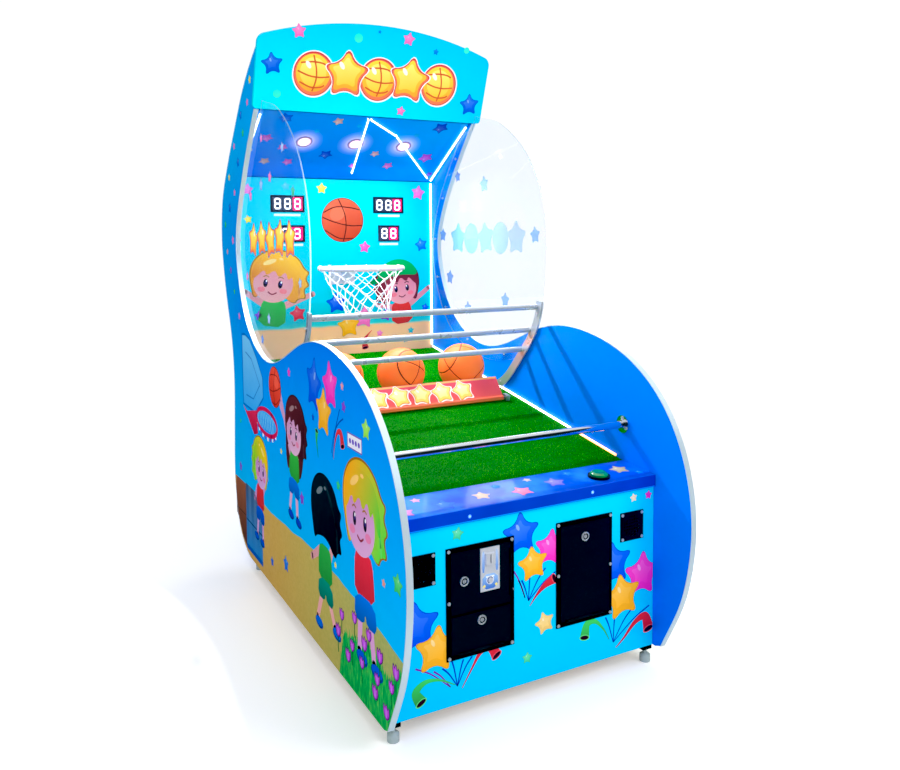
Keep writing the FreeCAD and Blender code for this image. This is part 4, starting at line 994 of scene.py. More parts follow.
def painted_hoop(art):
    board = [(1449, 942), (1400, 946), (1325, 932), (1225, 870), (1132, 795), (1128, 715),
             (1200, 668), (1261, 634), (1448, 640)]
    art.at(0).poly(board, (0, 118, 214))
    mid_y, mid_z = (sum(values) / len(board) for values in zip(*board))
    art.poly([(mid_y + (y - mid_y) * 0.94, mid_z + (z - mid_z) * 0.94) for y, z in board],
             (54, 172, 250), (120, 205, 255))
    art.poly(band([(1180, 760), (1300, 850), (1390, 868)], 5), (20, 120, 210))
    art.poly(band([(1180, 760), (1280, 690), (1392, 690)], 5), (20, 120, 210))
    art.at(4).poly([(1448, 640), (1389, 622), (1238, 650), (1222, 560), (1279, 545)],
                   (190, 16, 66), (232, 40, 90))
    hoop_y, hoop_z = 1094, 630
    for k in range(12):
        angle = math.radians(188 + k * 15.0)
        y, z = hoop_y + 132 * math.cos(angle), hoop_z + 46 * math.sin(angle)
        art.at(5).poly([(y - 9, z), (y + 9, z), (y + 7, z - 24), (y - 7, z - 24)],
                       (250, 240, 255) if k % 2 else (110, 50, 190))
    art.at(6).poly(oval(hoop_y, hoop_z, 132, 42), (40, 150, 246), (70, 180, 255))
    for k in range(7):
        y = hoop_y - 100 + k * 33
        for level, low_y, high_y in ((7, y, y + 26), (8, y + 26, y)):
            art.at(level).poly(band([(low_y, hoop_z - 30), (high_y, hoop_z + 30)], 3.2),
                               (150, 225, 255))
    for start, end in ((0, 125), (120, 245), (240, 365)):
        angles = [math.radians(start + (end - start) * i / 14.0) for i in range(15)]
        rim = [(hoop_y + 142 * math.cos(a), hoop_z + 48 * math.sin(a)) for a in angles]
        art.at(9).poly(band(rim, 17), (222, 18, 84))


def painted_figures(art):
    art.at(10).kid(735, 668, 94, hair=(104, 40, 50), tips=(70, 26, 40), skin=(226, 170, 208),
                   shirt=(60, 190, 70), shorts=(24, 120, 236), shoe=(0, 70, 200), flip=-1,
                   arms=((-1.9, 0.95), (-2.2, 0.72)), long_hair=True, tilt=6)
    art.at(44).ball(968, 786, 74, (255, 62, 44), seam_colour=(130, 20, 20))
    art.at(0).kid(1200, 432, 92, hair=(255, 206, 20), tips=(110, 225, 50), skin=(214, 160, 220),
                  shirt=(236, 46, 60), shorts=(0, 96, 226), shoe=(0, 86, 214),
                  arms=((-1.1, -0.2), (0.9, -1.7)), tilt=4, hair_angle=150)
    art.at(0).kid(444, 446, 108, hair=(16, 36, 50), tips=(4, 16, 30), skin=(238, 170, 170),
                  shirt=(52, 178, 74), shorts=(24, 150, 130), shoe=(0, 104, 226), flip=-1,
                  arms=((-1.2, -1.5), (0.95, -0.1)), face=False, stride=0.42)
    art.at(0).kid(126, 548, 124, hair=(255, 172, 16), tips=(70, 226, 70), skin=(222, 160, 214),
                  shirt=(240, 44, 70), shorts=(10, 120, 236), shoe=(0, 90, 220), flip=-1,
                  arms=((-0.35, -1.65), (0.35, -1.75)), tilt=-3, stride=0.1, hair_angle=28)


def side_art(name, x, out_x):
    art = Print(name, pos(x, 0, 0), across=(0, 1, 0), out=(out_x, 0, 0))
    painted_column(art)
    painted_hoop(art)
    painted_figures(art)
    art.at(0).star(526, 862, 98, BLUE, turn=10, squash=0.80)
    art.at(4).star(372, 880, 84, MAGENTA, turn=-6, squash=0.86)
    art.at(8).star(436, 788, 84, ORANGE, turn=4, squash=0.92)
    art.stars(LOWER_SIDE_STARS, turn=14, puffy_over=30)
    art.stars(UPPER_SIDE_STARS, turn=14, puffy_over=23)
    streamer = [(369, 674), (339, 744), (300, 780), (262, 800)]
    art.at(12).poly(band(spline(streamer, 8), 3, 5), (0, 70, 190))
    art.at(13).horn([(350, 660), (338, 706), (314, 748), (284, 752), (270, 716)], 34,
                    (230, 34, 50))
    streamer = [(360, 664), (330, 752), (290, 824)]
    art.at(12).poly(band(spline(streamer, 8), 3, 4), (0, 60, 180))
    art.at(12).horn([(492, 632), (500, 660), (506, 690), (502, 716)], 30, (40, 200, 90))
    # Label plate with four dots
    art.at(2).poly(box(118, 231, 724, 770), (120, 90, 190))
    art.poly(box(122, 227, 728, 766), (240, 238, 250))
    for k in range(4):
        art.at(4).poly(oval(141 + k * 22.5, 747, 8, 8, 16), (110, 80, 200))
    for k, (y, z) in enumerate(TULIPS):
        art.at(26 + (k % 3) * 4).tulip(y, z, 0.95 if k % 2 else 0.82, stem=z > 110)
    art.done(PRINT)


# ---------------------------------------------------------------- front art
def front_art():
    art = Print("front_art", pos(0, 0, 0), clip=(-468.5, 468.5, 2, 524))
    art.stars([(-251, 496, 22, MINT), (-18, 77, 20, MINT), (45, 170, 38, TAN),
               (387, 500, 16, (250, 230, 190)), (-430, 490, 18, (250, 120, 200)),
               (448, 500, 16, MAGENTA)], turn=15)
    violet = (120, 40, 170)
    # Left cluster
    art.at(0).spray((-255, 54), [(-303, 118), (-273, 134), (-235, 128), (-206, 130)])
    art.spray((-277, 57), [(-330, 116), (-387, 138)], violet)
    art.horn([(-240, 44), (-206, 96), (-178, 134), (-146, 140), (-124, 112)], 36, HORN_RED)
    art.horn([(-262, 60), (-310, 86), (-356, 92), (-386, 70), (-370, 36)], 38, HORN_GREEN)
    art.at(6).star(-385, 253, 82, BLUE, 4)
    art.star(-320, 176, 76, ORANGE, -6)
    # Middle cluster
    art.at(0).spray((-13, 251), [(-37, 318), (-7, 330), (48, 339), (85, 320)])
    art.spray((-25, 262), [(-48, 320), (-64, 350)], violet)
    art.horn([(-8, 234), (16, 262), (46, 286), (80, 300)], 34, HORN_RED)
    art.at(6).star(-39, 458, 70, BLUE, 2)
    art.star(66, 397, 62, MAGENTA, -8)
    art.star(3, 360, 58, ORANGE, 6)
    # Right cluster
    art.at(0).spray((307, 46), [(276, 134), (313, 134), (382, 139), (455, 134)])
    art.horn([(290, 60), (268, 98), (236, 130), (204, 128), (194, 88)], 38, HORN_GREEN)
    art.horn([(318, 26), (352, 52), (396, 92), (436, 102), (452, 58)], 44, HORN_RED)
    art.at(6).star(305, 299, 80, BLUE, 6)
    art.star(424, 244, 80, MAGENTA, -4)
    art.star(343, 187, 80, ORANGE, 8)
    art.done(PRINT)


def fascia_art():
    """Two dots and a line on the edge above the front panel."""
    art = Print("fascia_art", pos(0, -9, 0))
    for x, z in ((-216, 543), (217, 546)):
        art.at(0).poly(oval(x, z, 6.5, count=20), (60, 120, 255))
        art.poly(oval(x, z, 4.0, count=16), (150, 220, 255))
    art.poly(band([(-466, 528.5), (466, 528.5)], 3.0), (0, 150, 255))
    art.done(PRINT)


def shelf_art():
    slope = Vector((0, 152, 10.8)).normalized()
    art = Print("shelf_art", pos(0, 0, 566.63), up=slope, out=(0, -slope.z, slope.y))
    art.stars([(-269, 44, 40, (0, 92, 232)), (-136, 62, 32, (214, 184, 160)),
               (-5, 44, 38, (240, 120, 160)), (129, 66, 38, (120, 110, 240)),
               (-399, 38, 36, (214, 120, 190)), (392, 78, 36, (196, 176, 130)),
               (-60, 108, 20, (0, 120, 250)), (210, 112, 20, (0, 110, 250)),
               (-330, 108, 18, (230, 150, 190)), (60, 118, 16, (215, 190, 170)),
               (436, 30, 18, (0, 120, 250))], turn=16)
    art.done(PRINT)


# ---------------------------------------------------------------- backboard art
def backboard_art():
    art = Print("backboard_art", pos(0, 1565, 0), clip=(-456, 456, 802, 1600))
    art.stars([(-84, 1560, 27, YELLOW), (398, 1550, 38, PINK), (120, 1294, 30, (255, 70, 170)),
               (412, 1303, 36, (0, 110, 235)), (-250, 1566, 22, (60, 200, 240)),
               (-420, 1548, 28, PINK), (-420, 1420, 20, YELLOW), (190, 889, 18, PINK),
               (352, 894, 18, (20, 180, 190)), (322, 850, 16, (20, 180, 190)),
               (-380, 1000, 24, PURPLE), (430, 1000, 22, BLUE)], turn=14)
    art.at(0).ball(14, 1419, 98, (214, 82, 54), seam_colour=(70, 26, 28))
    art.at(0).kid(-300, 1150, 104, hair=(255, 196, 60), tips=(250, 150, 60),
                  skin=(255, 176, 170), shirt=(60, 200, 90), arms=((-1.3, -0.6), (1.65, -0.4)),
                  tilt=-8)
    art.at(0).kid(292, 1108, 92, hair=(120, 34, 60), tips=(150, 50, 70), skin=(255, 160, 170),
                  shirt=(236, 60, 60), arms=((-1.7, -0.3), (1.3, -0.8)), cap=(20, 190, 100),
                  tilt=6, flip=-1)
    art.at(30).horn([(150, 905), (128, 884), (112, 860), (116, 826)], 34, (230, 40, 60))
    art.at(30).star(-24, 1040, 52, BLUE, 5)
    art.star(112, 968, 56, PINK, -6)
    art.star(35, 932, 60, ORANGE, 4)
    art.at(30).star(-206, 1000, 40, RED, 10)
    art.at(30).star(222, 975, 34, PURPLE, -10)
    for left, right, z in ((-305, -185, 1440), (-285, -175, 1308), (190, 300, 1440),
                           (196, 290, 1308)):
        art.at(0).poly(box(left, right, z - 5, z + 5), (225, 250, 255))
    art.done(PRINT)


def display_digits():
    art = Print("display_digits", pos(0, 1564, 0), step=0.00006)
    height, margin = 75, 9
    # Displays: left x, low z, width, digits
    for left, low, width, digits in ((-320, 1452, 154, 3), (-291, 1320, 125, 2),
                                     (165, 1452, 154, 3), (189, 1320, 108, 2)):
        tall = height - 2.0 * margin
        cell = (width - 2.0 * margin) / digits
        for k in range(digits):
            x, z = left + margin + cell * (k + 0.5), low + height / 2.0
            last = k == digits - 1
            art.at(0).poly(box(x - cell / 2 + 1, x + cell / 2 - 1, z - tall / 2, z + tall / 2),
                           (235, 20, 92) if last else (46, 52, 72))
            art.at(1).eight(x, z, min(cell - 12, 30), tall - 8, bar=6.4,
                            colour=(255, 236, 246) if last else (255, 255, 255))
    art.done(print_material("lit_digits", rough=0.3, coat=0.0, glow=1.6))


# ---------------------------------------------------------------- ceiling, marquee, gate
def ceiling_art():
    art = Print("ceiling_art", pos(0, CEILING_Y, CEILING_Z),
                up=(0, math.cos(CEILING_TILT), -math.sin(CEILING_TILT)), out=CEILING_NORMAL,
                clip=(-445, 445, 4, 436))
    art.stars([(-349, 40, 34, (0, 84, 214)), (-118, 264, 34, (0, 60, 200)),
               (342, 40, 40, (0, 50, 190)), (-128, 40, 26, (210, 160, 150)),
               (-371, 327, 26, (210, 160, 150)), (104, 243, 24, (205, 150, 160)),
               (-396, 171, 28, (214, 90, 190)), (-316, 229, 24, (214, 90, 190)),
               (-271, 326, 26, (214, 90, 190)), (196, 326, 28, (225, 90, 190)),
               (29, 337, 20, (200, 80, 190)), (360, 255, 38, (190, 60, 200)),
               (-30, 60, 15, (0, 160, 240)), (-200, 110, 16, (0, 160, 240)),
               (250, 100, 16, (0, 160, 240)), (430, 380, 20, (110, 60, 200))], turn=16)
    art.done(PRINT)


def marquee_art():
    tilt = math.radians(19.5)
    art = Print("marquee_art", pos(0, 1150, 1829), up=(0, -math.sin(tilt), math.cos(tilt)),
                out=(0, -math.cos(tilt), -math.sin(tilt)))
    art.stars([(-342, 300, 30, PINK), (112, 317, 29, PINK), (116, 30, 22, PINK),
               (-436, 171, 46, (0, 90, 225)), (432, 77, 50, (0, 90, 230)),
               (239, 280, 14, (0, 120, 235)), (-17, 332, 8, (0, 120, 235))], turn=12)
    for x, y, radius in ((-102, 300, 18), (-409, 62, 16), (380, 300, 13)):
        art.at(0).poly(oval(x, y, radius, count=24), (70, 240, 200), (30, 235, 225))
    for k in range(5):
        y, radius, kind = (158, 88, "star") if k % 2 else (150, 86, "ball")
        art.at(3 + 9 * (k % 2)).bubble(-272 + 136 * k, y, radius, kind, (-6, 0, 8)[k % 3])
    art.done(PRINT)


def gate_art():
    tilt = math.radians(51.6)
    normal = Vector((0, -math.sin(tilt), math.cos(tilt)))
    art = Print("gate_art", deck(0, 648.5, 12) + normal * 0.004,
                up=(0, math.cos(tilt), math.sin(tilt)), out=normal, clip=(-384, 384, -6, 94))
    art.at(0).poly(box(-384, 384, 86, 93.5), (255, 180, 110))
    for k in range(6):
        x, turn = -238 + k * 91.0, (-8, 6, 12)[k % 3]
        art.at(2 if k % 2 else 8)
        art.poly(star_outline(x + 0.8, 46, 54, turn, 0.58), (255, 244, 232))
        art.poly(star_outline(x, 47, 47.5, turn, 0.58), (238, 138, 66))
        art.poly(star_outline(x, 48, 43.5, turn, 0.58), (255, 214, 96), (255, 240, 140), 95)
        art.poly(star_outline(x - 1, 50, 30, turn, 0.58), (255, 238, 140), (255, 250, 190), 100)
        art.poly(oval(x - 11, 64, 4.4, 8.4, 16, 35), (255, 255, 240))
    art.done(PRINT, "gate")


# ---------------------------------------------------------------- window art
WINDOW_RIM = (122, 150, 206)


def window_stars(art, rows):
    """Stars on a wider pale-blue star: y, z, radius, colour."""
    for y, z, radius, colour in rows:
        turn = rnd.uniform(-12, 12)
        art.at(0).poly(star_outline(y, z, radius * 1.12, turn, 0.56), WINDOW_RIM)
        art.star(y, z, radius, colour, turn)


def window_art():
    # The window prints glow faintly: painted light that keeps them lit from both sides of the
    # acrylic.
    mat = print_material("window_vinyl_painted_glow", rough=0.4, glow=0.24)
    pale = (150, 190, 245)
    left = Print("window_art_left", pos(-470, 0, 0), across=(0, 1, 0), out=(-1, 0, 0))
    window_stars(left, [
        (1162, 1541, 24, (140, 190, 245)), (760, 1493, 22, (60, 200, 150)),
        (1320, 1506, 22, PINK), (1039, 1562, 22, PINK), (1190, 939, 20, (90, 130, 220)),
        (1092, 1028, 22, (150, 180, 240)), (1145, 1717, 18, PINK), (875, 1655, 20, pale),
        (700, 1180, 18, pale), (1400, 1180, 20, PINK)])
    for k in range(5):
        left.at(0 if k % 2 else 10).bubble(1290 - k * 121.0, 1336 if k % 2 else 1330, 66, "star",
                                           (10, -4, -12)[k % 3], WINDOW_RIM)
    left.done(mat)
    right = Print("window_art_right", pos(470, 0, 0), across=(0, 1, 0), out=(1, 0, 0))
    colours = (PINK, (60, 200, 150), (90, 130, 220), YELLOW)
    spots = ((1066, 1561, 34), (1448, 1348, 30), (678, 1339, 32), (1382, 1152, 32),
             (899, 1073, 30), (1213, 1018, 30), (1300, 1610, 24))
    window_stars(right, [(*spot, colours[k % 4]) for k, spot in enumerate(spots)])
    for k in range(5):
        right.at(0 if k % 2 else 10).bubble(
            1300 - k * 122.0, 1333, 64, "ball" if k % 2 else "star", (4, 0, -8)[k % 3],
            blend((118, 168, 218), (146, 162, 208), k / 4.0))
    right.done(mat)


def acceptor_panel():
    art = Print("acceptor_panel", pos(-150, -8.8, 378.5))
    rail_colours = (92, 140, 214), (180, 205, 240)
    art.at(0).poly(soften([(-27, -8), (-27, 50), (-18, 58), (-18, -8)], 1), *rail_colours)
    art.at(0).poly(soften([(18, -8), (18, 58), (27, 50), (27, -8)], 1), *rail_colours)
    art.at(0).poly(soften([(-26, -58), (-26, -14), (26, -14), (26, -58)], 1), (58, 110, 196),
                   (150, 190, 236))
    art.poly(box(-14, 14, -24, -20), (240, 246, 255))
    art.poly(oval(0, -32.5, 12.5, count=30), (228, 234, 244))
    art.poly(oval(0, -32.5, 10.0, count=30), (44, 70, 130))
    for side in (-1, 1):
        art.at(3).poly(star_outline(side * 20, -48, 5.5), (250, 232, 120))
    art.done(PRINT, "coin_door")


side_art("side_art_left", -488.0, -1)
side_art("side_art_right", 488.0, 1)
front_art()
fascia_art()
shelf_art()
backboard_art()
display_digits()
ceiling_art()
marquee_art()
gate_art()
window_art()
acceptor_panel()

# ---------------------------------------------------------------- turf
TURF_HALF, TURF_START, TURF_END = 469, 2, 1427
# Opening in the mat: left, right, start and end up the slope
OPENING = (-440, -410, 634, 730)


def turf_mat():
    """Closed mat with a slightly uneven top and an opening at the left."""
    columns, rows = 94, 142
    xs = np.linspace(-TURF_HALF, TURF_HALF, columns + 1)
    runs = np.linspace(TURF_START, TURF_END, rows + 1)
    verts, faces = [], []
    for is_bottom in (False, True):
        for run in runs:
            for x in xs:
                height = -7.9 if is_bottom else -3.4 + rnd.uniform(-0.4, 0.4)
                verts.append(deck(x, run, height))
    row = columns + 1
    under = row * (rows + 1)
    left, right, start, end = OPENING

    def missing(i, j):
        return (i < 0 or j < 0 or i >= columns or j >= rows
                or (xs[i + 1] > left and xs[i] < right
                    and runs[j + 1] > start and runs[j] < end))

    for j in range(rows):
        for i in range(columns):
            if missing(i, j):
                continue
            a = j * row + i
            b, c, d = a + 1, a + row + 1, a + row
            faces.append((a, b, c, d))
            faces.append((d + under, c + under, b + under, a + under))
            for step_i, step_j, near, far in ((0, -1, a, b), (1, 0, b, c), (0, 1, c, d),
                                              (-1, 0, d, a)):
                if missing(i + step_i, j + step_j):
                    faces.append((far, near, near + under, far + under))
    return verts, faces


def turf_blades(base):
    """Leaning three-sided spikes; faces count from vertex `base`."""
    count = 62000
    x = blade_rng.uniform(-TURF_HALF + 1, TURF_HALF - 1, count)
    run = blade_rng.uniform(TURF_START + 1, TURF_END - 1, count)
    left, right, start, end = OPENING
    keep = ~((x > left - 2) & (x < right + 2) & (run > start - 2) & (run < end + 2))
    x, run = x[keep], run[keep]
    count = len(x)
    yaw = blade_rng.uniform(0, 2 * math.pi, count)
    width = blade_rng.uniform(1.2, 2.2, count)
    local = np.zeros((count, 4, 3))
    inset = 0.2
    local[:, 3, 0] = np.clip(x + blade_rng.normal(0, 1.3, count), -TURF_HALF + inset,
                             TURF_HALF - inset)
    local[:, 3, 1] = np.clip(run + blade_rng.normal(0.6, 1.3, count), TURF_START + inset,
                             TURF_END - inset)
    local[:, 3, 2] = blade_rng.uniform(-1.3, -0.12, count)
    for k in range(3):
        angle = yaw + k * 2 * math.pi / 3
        local[:, k, 0] = np.clip(x + width * np.cos(angle), -TURF_HALF, TURF_HALF)
        local[:, k, 1] = np.clip(run + width * np.sin(angle), TURF_START, TURF_END)
        local[:, k, 2] = -4.4
    cos, sin = math.cos(DECK_TILT), math.sin(DECK_TILT)
    placed = np.empty_like(local)
    placed[..., 0] = local[..., 0] / 1000.0
    placed[..., 1] = (DECK_Y + local[..., 1] * cos - local[..., 2] * sin + FRAME_Y) / 1000.0
    placed[..., 2] = (DECK_Z + local[..., 1] * sin + local[..., 2] * cos + FRAME_Z) / 1000.0
    # Patches of lighter and darker blades; the feet are painted darker than the tips as shade down
    # among the blades.
    tip_x, tip_run = local[:, 3, 0], local[:, 3, 1]
    patch = 0.5 + 0.5 * (np.sin(tip_x / 47.0 + 2.1 * np.sin(tip_run / 83.0))
                         * np.sin(tip_run / 39.0 + tip_x / 95.0))
    tone = np.clip(blade_rng.normal(0.5, 0.25, count) + 0.25 * (patch - 0.5), 0, 1)[:, None]
    dark, middle, light = (np.array(rgb(*c)) for c in ((6, 140, 0), (30, 196, 8), (130, 240, 40)))
    colour = np.where(tone < 0.6, dark + (middle - dark) * (tone / 0.6),
                      middle + (light - middle) * ((tone - 0.6) / 0.4))
    colours = np.repeat(colour[:, None, :], 4, axis=1)
    # Painted shade at the feet of the blades.
    colours[:, :3, :3] *= 0.42
    first = base + np.arange(count)[:, None] * 4
    faces = np.concatenate([first + np.array([corners]) for corners in
                            ((0, 1, 3), (1, 2, 3), (2, 0, 3), (0, 2, 1))], axis=0)
    return placed.reshape(-1, 3).tolist(), faces.tolist(), colours.reshape(-1, 4)


def turf():
    verts, faces = turf_mat()
    blade_verts, blade_faces, blade_colours = turf_blades(len(verts))
    colours = np.concatenate([np.array([rgb(6, 110, 4)] * len(verts), dtype=np.float32),
                              blade_colours.astype(np.float32)], axis=0)
    mat = Material("turf_fibre", rough=0.72, specular=0.04)
    fibre = mat.finish(mat.printed(), mottle=0.10, patch=5.0, spread=0.1, bump=0.3, grain=700.0)
    carpet = mesh_piece("turf_carpet", verts + blade_verts, faces + blade_faces, fibre,
                        colours=colours)
    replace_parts(carpet, "turf_mat")


turf()

# ---------------------------------------------------------------- net
NET_COLUMNS, NET_ROWS = 12, 6
NET_TOP_RADIUS, NET_LOW_RADIUS, NET_DROP = 167.0, 92.0, 184.0
HOOP_Y, HOOP_Z = 1316, 1205


def net_knot(row, i):
    """Knot of the diamond mesh; the net narrows and drifts to one side as it falls."""
    share = row / NET_ROWS
    taper = (1 - share) ** 1.25
    radius = (NET_TOP_RADIUS * taper + NET_LOW_RADIUS * (1 - taper)
              + (7 if row == NET_ROWS else 0))
    angle = 2 * math.pi * (i + 0.5 * (row % 2)) / NET_COLUMNS
    drift_x = 26.0 * share * share + 4.0 * math.sin(5 * angle + row)
    drift_y = -8.0 * share * share + 4.0 * math.cos(4 * angle + 2 * row)
    z = HOOP_Z - 11 - NET_DROP * share + 5.0 * math.sin(3 * angle + row)
    return pos(radius * math.cos(angle) + drift_x, HOOP_Y + radius * math.sin(angle) + drift_y,
               z)


def net():
    verts, faces = [], []
    for row in range(NET_ROWS):
        for i in range(NET_COLUMNS):
            right = i if row % 2 == 0 else i + 1
            for below in (right, right - 1):
                start, end = net_knot(row, i), net_knot(row + 1, below)
                line = []
                for k in range(7):
                    point = start.lerp(end, k / 6.0)
                    point.z -= 0.004 * math.sin(math.pi * k / 6.0)
                    line.append(point)
                tube(verts, faces, line, 0.0016, 7)
    half = Vector((0.0035, 0.0015, 0.0030))
    for row in range(1, NET_ROWS + 1):
        for i in range(NET_COLUMNS):
            knot = net_knot(row, i)
            tube(verts, faces, [knot - half, knot - half * 0.45, knot + half * 0.45,
                                knot + half], [0.0012, 0.0030, 0.0030, 0.0012], 8)
    for i in range(NET_COLUMNS):
        # Loop round the ring tube and its tail down to the first knot
        angle = 2 * math.pi * i / NET_COLUMNS
        outward = Vector((math.cos(angle), math.sin(angle), 0))
        centre = pos(0, HOOP_Y, HOOP_Z) + outward * 0.176
        line = []
        for k in range(15):
            turn = math.radians(-100 + 310 * k / 14.0)
            line.append(centre + outward * (-math.cos(turn) * 0.0112)
                        + Vector((0, 0, 1)) * (math.sin(turn) * 0.0112))
        tube(verts, faces, line, 0.0018, 7)
        knot = net_knot(0, i)
        middle = line[0].lerp(knot, 0.5) - Vector((0, 0, 0.001))
        tube(verts, faces, [line[0], middle, knot], 0.0020, 7)
    mat = Material("net_cord_painted_glow", rough=0.6)
    twist = mat.node("TexWave", {"Vector": mat.coords, "Scale": 260.0, "Distortion": 1.5}, "Fac",
                     bands_direction="DIAGONAL")
    # Painted light: a faint pale emission on the cord, which is no lamp.
    mat.glow(rgb(235, 245, 255), 0.12)
    colour = mat.mix(mat.remap(twist, 0.2, 0.9, 0.0, 0.35), rgb(248, 250, 255),
                     rgb(176, 186, 206))
    cord = mat.finish(colour, bump=0.5, depth=0.0006, height=twist)
    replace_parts(mesh_piece("knotted_net", verts, faces, cord, smooth=True),
                "hoop_net")


net()


# ---------------------------------------------------------------- balls
def pebbled_rubber_painted_glow():
    mat = Material("pebbled_rubber_painted_glow", rough=0.46, specular=0.25)
    cell = mat.cells(330.0)
    # Painted light: the balls glow with their own colour, which brightens their shaded sides.
    mat.glow(mat.printed(), 0.32)
    colour = mat.printed()
    return mat.finish(colour, mottle=0.07, patch=12.0, spread=0.08, bump=0.55, depth=0.0007,
                      height=mat.minus(1.0, cell))


def ball(name, x, turn, rubber_mat):
    around, rings = 208, 120
    radius, groove_depth = 0.0949, 0.0016
    verts, faces, colours = [], [], []
    inverse = Euler(turn).to_matrix().inverted()
    centre = pos(x, 946.4, 803.85)
    rubber, seam = rgb(255, 122, 54), rgb(40, 14, 10)

    def add_point(theta, phi):
        out = Vector((math.sin(theta) * math.cos(phi), math.sin(theta) * math.sin(phi),
                      math.cos(theta)))
        p = inverse @ out
        curved = abs(abs(p.y) - (0.60 + 0.10 * (p.z * p.z - p.x * p.x)))
        to_seam = min(abs(p.x), abs(p.z), curved)
        groove = max(0.0, 1.0 - to_seam / 0.028)
        groove = groove * groove * (3 - 2 * groove)
        verts.append(centre + out * (radius - groove_depth * groove))
        colours.append(blend(rubber, seam, min(1.0, max(0.0, (0.023 - to_seam) / 0.008))))

    add_point(0, 0)
    for j in range(1, rings):
        for i in range(around):
            add_point(math.pi * j / rings, 2 * math.pi * i / around)
    add_point(math.pi, 0)
    last = len(verts) - 1
    for i in range(around):
        k = (i + 1) % around
        faces.append((0, 1 + i, 1 + k))
        faces.append((last, last - around + k, last - around + i))
    for j in range(rings - 2):
        for i in range(around):
            k = (i + 1) % around
            a, b = 1 + j * around, 1 + (j + 1) * around
            faces.append((a + i, b + i, b + k, a + k))
    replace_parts(mesh_piece("basket" + name, verts, faces, rubber_mat, name,
                           colours, smooth=True), name)


BALL_RUBBER = pebbled_rubber_painted_glow()
ball("ball_left", -247, (0.5, 0.9, 0.4), BALL_RUBBER)
ball("ball_centre", 14, (-0.35, 0.55, 0.30), BALL_RUBBER)
ball("ball_right", 286, (0.75, -0.35, 0.95), BALL_RUBBER)

# ---------------------------------------------------------------- turned parts and strip
# Profiles: radius, distance along the axis; the cone's radii are shares of its full radius
CONE_RADIUS = 36.5
CONE = [(0.22, 5.5), (0.24, 3.6), (0.30, 5.0), (0.86, 0.6), (0.90, -0.9), (0.95, -0.9),
        (0.99, 0.5), (0.99, 10.0), (0.7, 12.0), (0.45, 26.0), (0.2, 26.0)]
LOCK_RING = [(9.4, 8.6), (9.4, 9.5), (9.9, 10.1), (12.6, 10.1), (13.9, 9.4), (14.35, 8.4),
             (14.35, 5.9), (13.9, 5.9), (13.9, 8.6)]
SCREW_HEAD = [(4.2, 0.0), (4.2, 0.7), (3.0, 1.7), (1.2, 1.9)]


def speaker_cones():
    mat = powder_coat("speaker_cone_paper", (18, 18, 22), fleck_and_glint_amount=0.0)
    verts, faces = [], []
    profile = [(CONE_RADIUS * share, along) for share, along in CONE]
    for x in (-369, 379):
        lathe(verts, faces, pos(x, 9.0, 411), Vector((0, 1, 0)), profile, 40)
    mesh_piece("speaker_cones", verts, [face[::-1] for face in faces], mat)


def lock_rings():
    mat = plain("bright_lock_ring", (230, 236, 242), rough=0.22, metal=0.7, coat=0.3, bump=0.04,
                grain=300.0)
    for body, x, z in (("coin_door", -234, 358), ("cash_door", -177, 234),
                       ("service_door", 191, 412)):
        verts, faces = [], []
        lathe(verts, faces, pos(x, 0, z), Vector((0, -1, 0)), LOCK_RING, 44, ring=True)
        mesh_piece("lock_ring_" + body, verts, faces, mat, body)


def rear_joint_strip():
    """Screwed strip over the joint of the rear panel and the curved cover."""
    # Section: y, z
    section = [(1587.4, 688.0), (1590.2, 688.0), (1591.2, 689.2), (1591.2, 742.8),
               (1590.2, 744.0), (1587.4, 744.0)]
    count = len(section)
    verts = [pos(x, y, z) for x in (-468.8, 468.8) for y, z in section]
    faces = [tuple(range(count))[::-1], tuple(range(count, 2 * count))]
    faces += [(k, (k + 1) % count, count + (k + 1) % count, count + k) for k in range(count)]
    for k in range(7):
        lathe(verts, faces, pos(-420 + k * 140, 1591.0, 716), Vector((0, 1, 0)), SCREW_HEAD, 20)
    mesh_piece("rear_joint_strip", verts, faces, AZURE)


speaker_cones()
lock_rings()
rear_joint_strip()


# ---------------------------------------------------------------- camera
def camera():
    """Front left view, with heading, downward pitch and roll in radians."""
    heading, pitch, roll = 0.4905, 0.0646, -0.0081
    data = bpy.data.cameras.new("cam")
    cam = add_object("cam", data)
    forward = Vector((math.sin(heading) * math.cos(pitch), math.cos(heading) * math.cos(pitch),
                      -math.sin(pitch)))
    right = Vector((math.cos(heading), -math.sin(heading), 0))
    up = Vector((math.sin(heading) * math.sin(pitch), math.cos(heading) * math.sin(pitch),
                 math.cos(pitch)))
    rolled_right = right * math.cos(roll) + up * math.sin(roll)
    rolled_up = -right * math.sin(roll) + up * math.cos(roll)
    matrix = Matrix((rolled_right, rolled_up, -forward)).transposed().to_4x4()
    matrix.translation = Vector((-1.3320, -2.7870, 1.3731))
    cam.matrix_world = matrix
    data.lens, data.sensor_width, data.sensor_fit = 32.88, 36.0, "HORIZONTAL"
    data.shift_y = -0.1006
    data.clip_start, data.clip_end = 0.05, 60.0
    bpy.context.scene.camera = cam


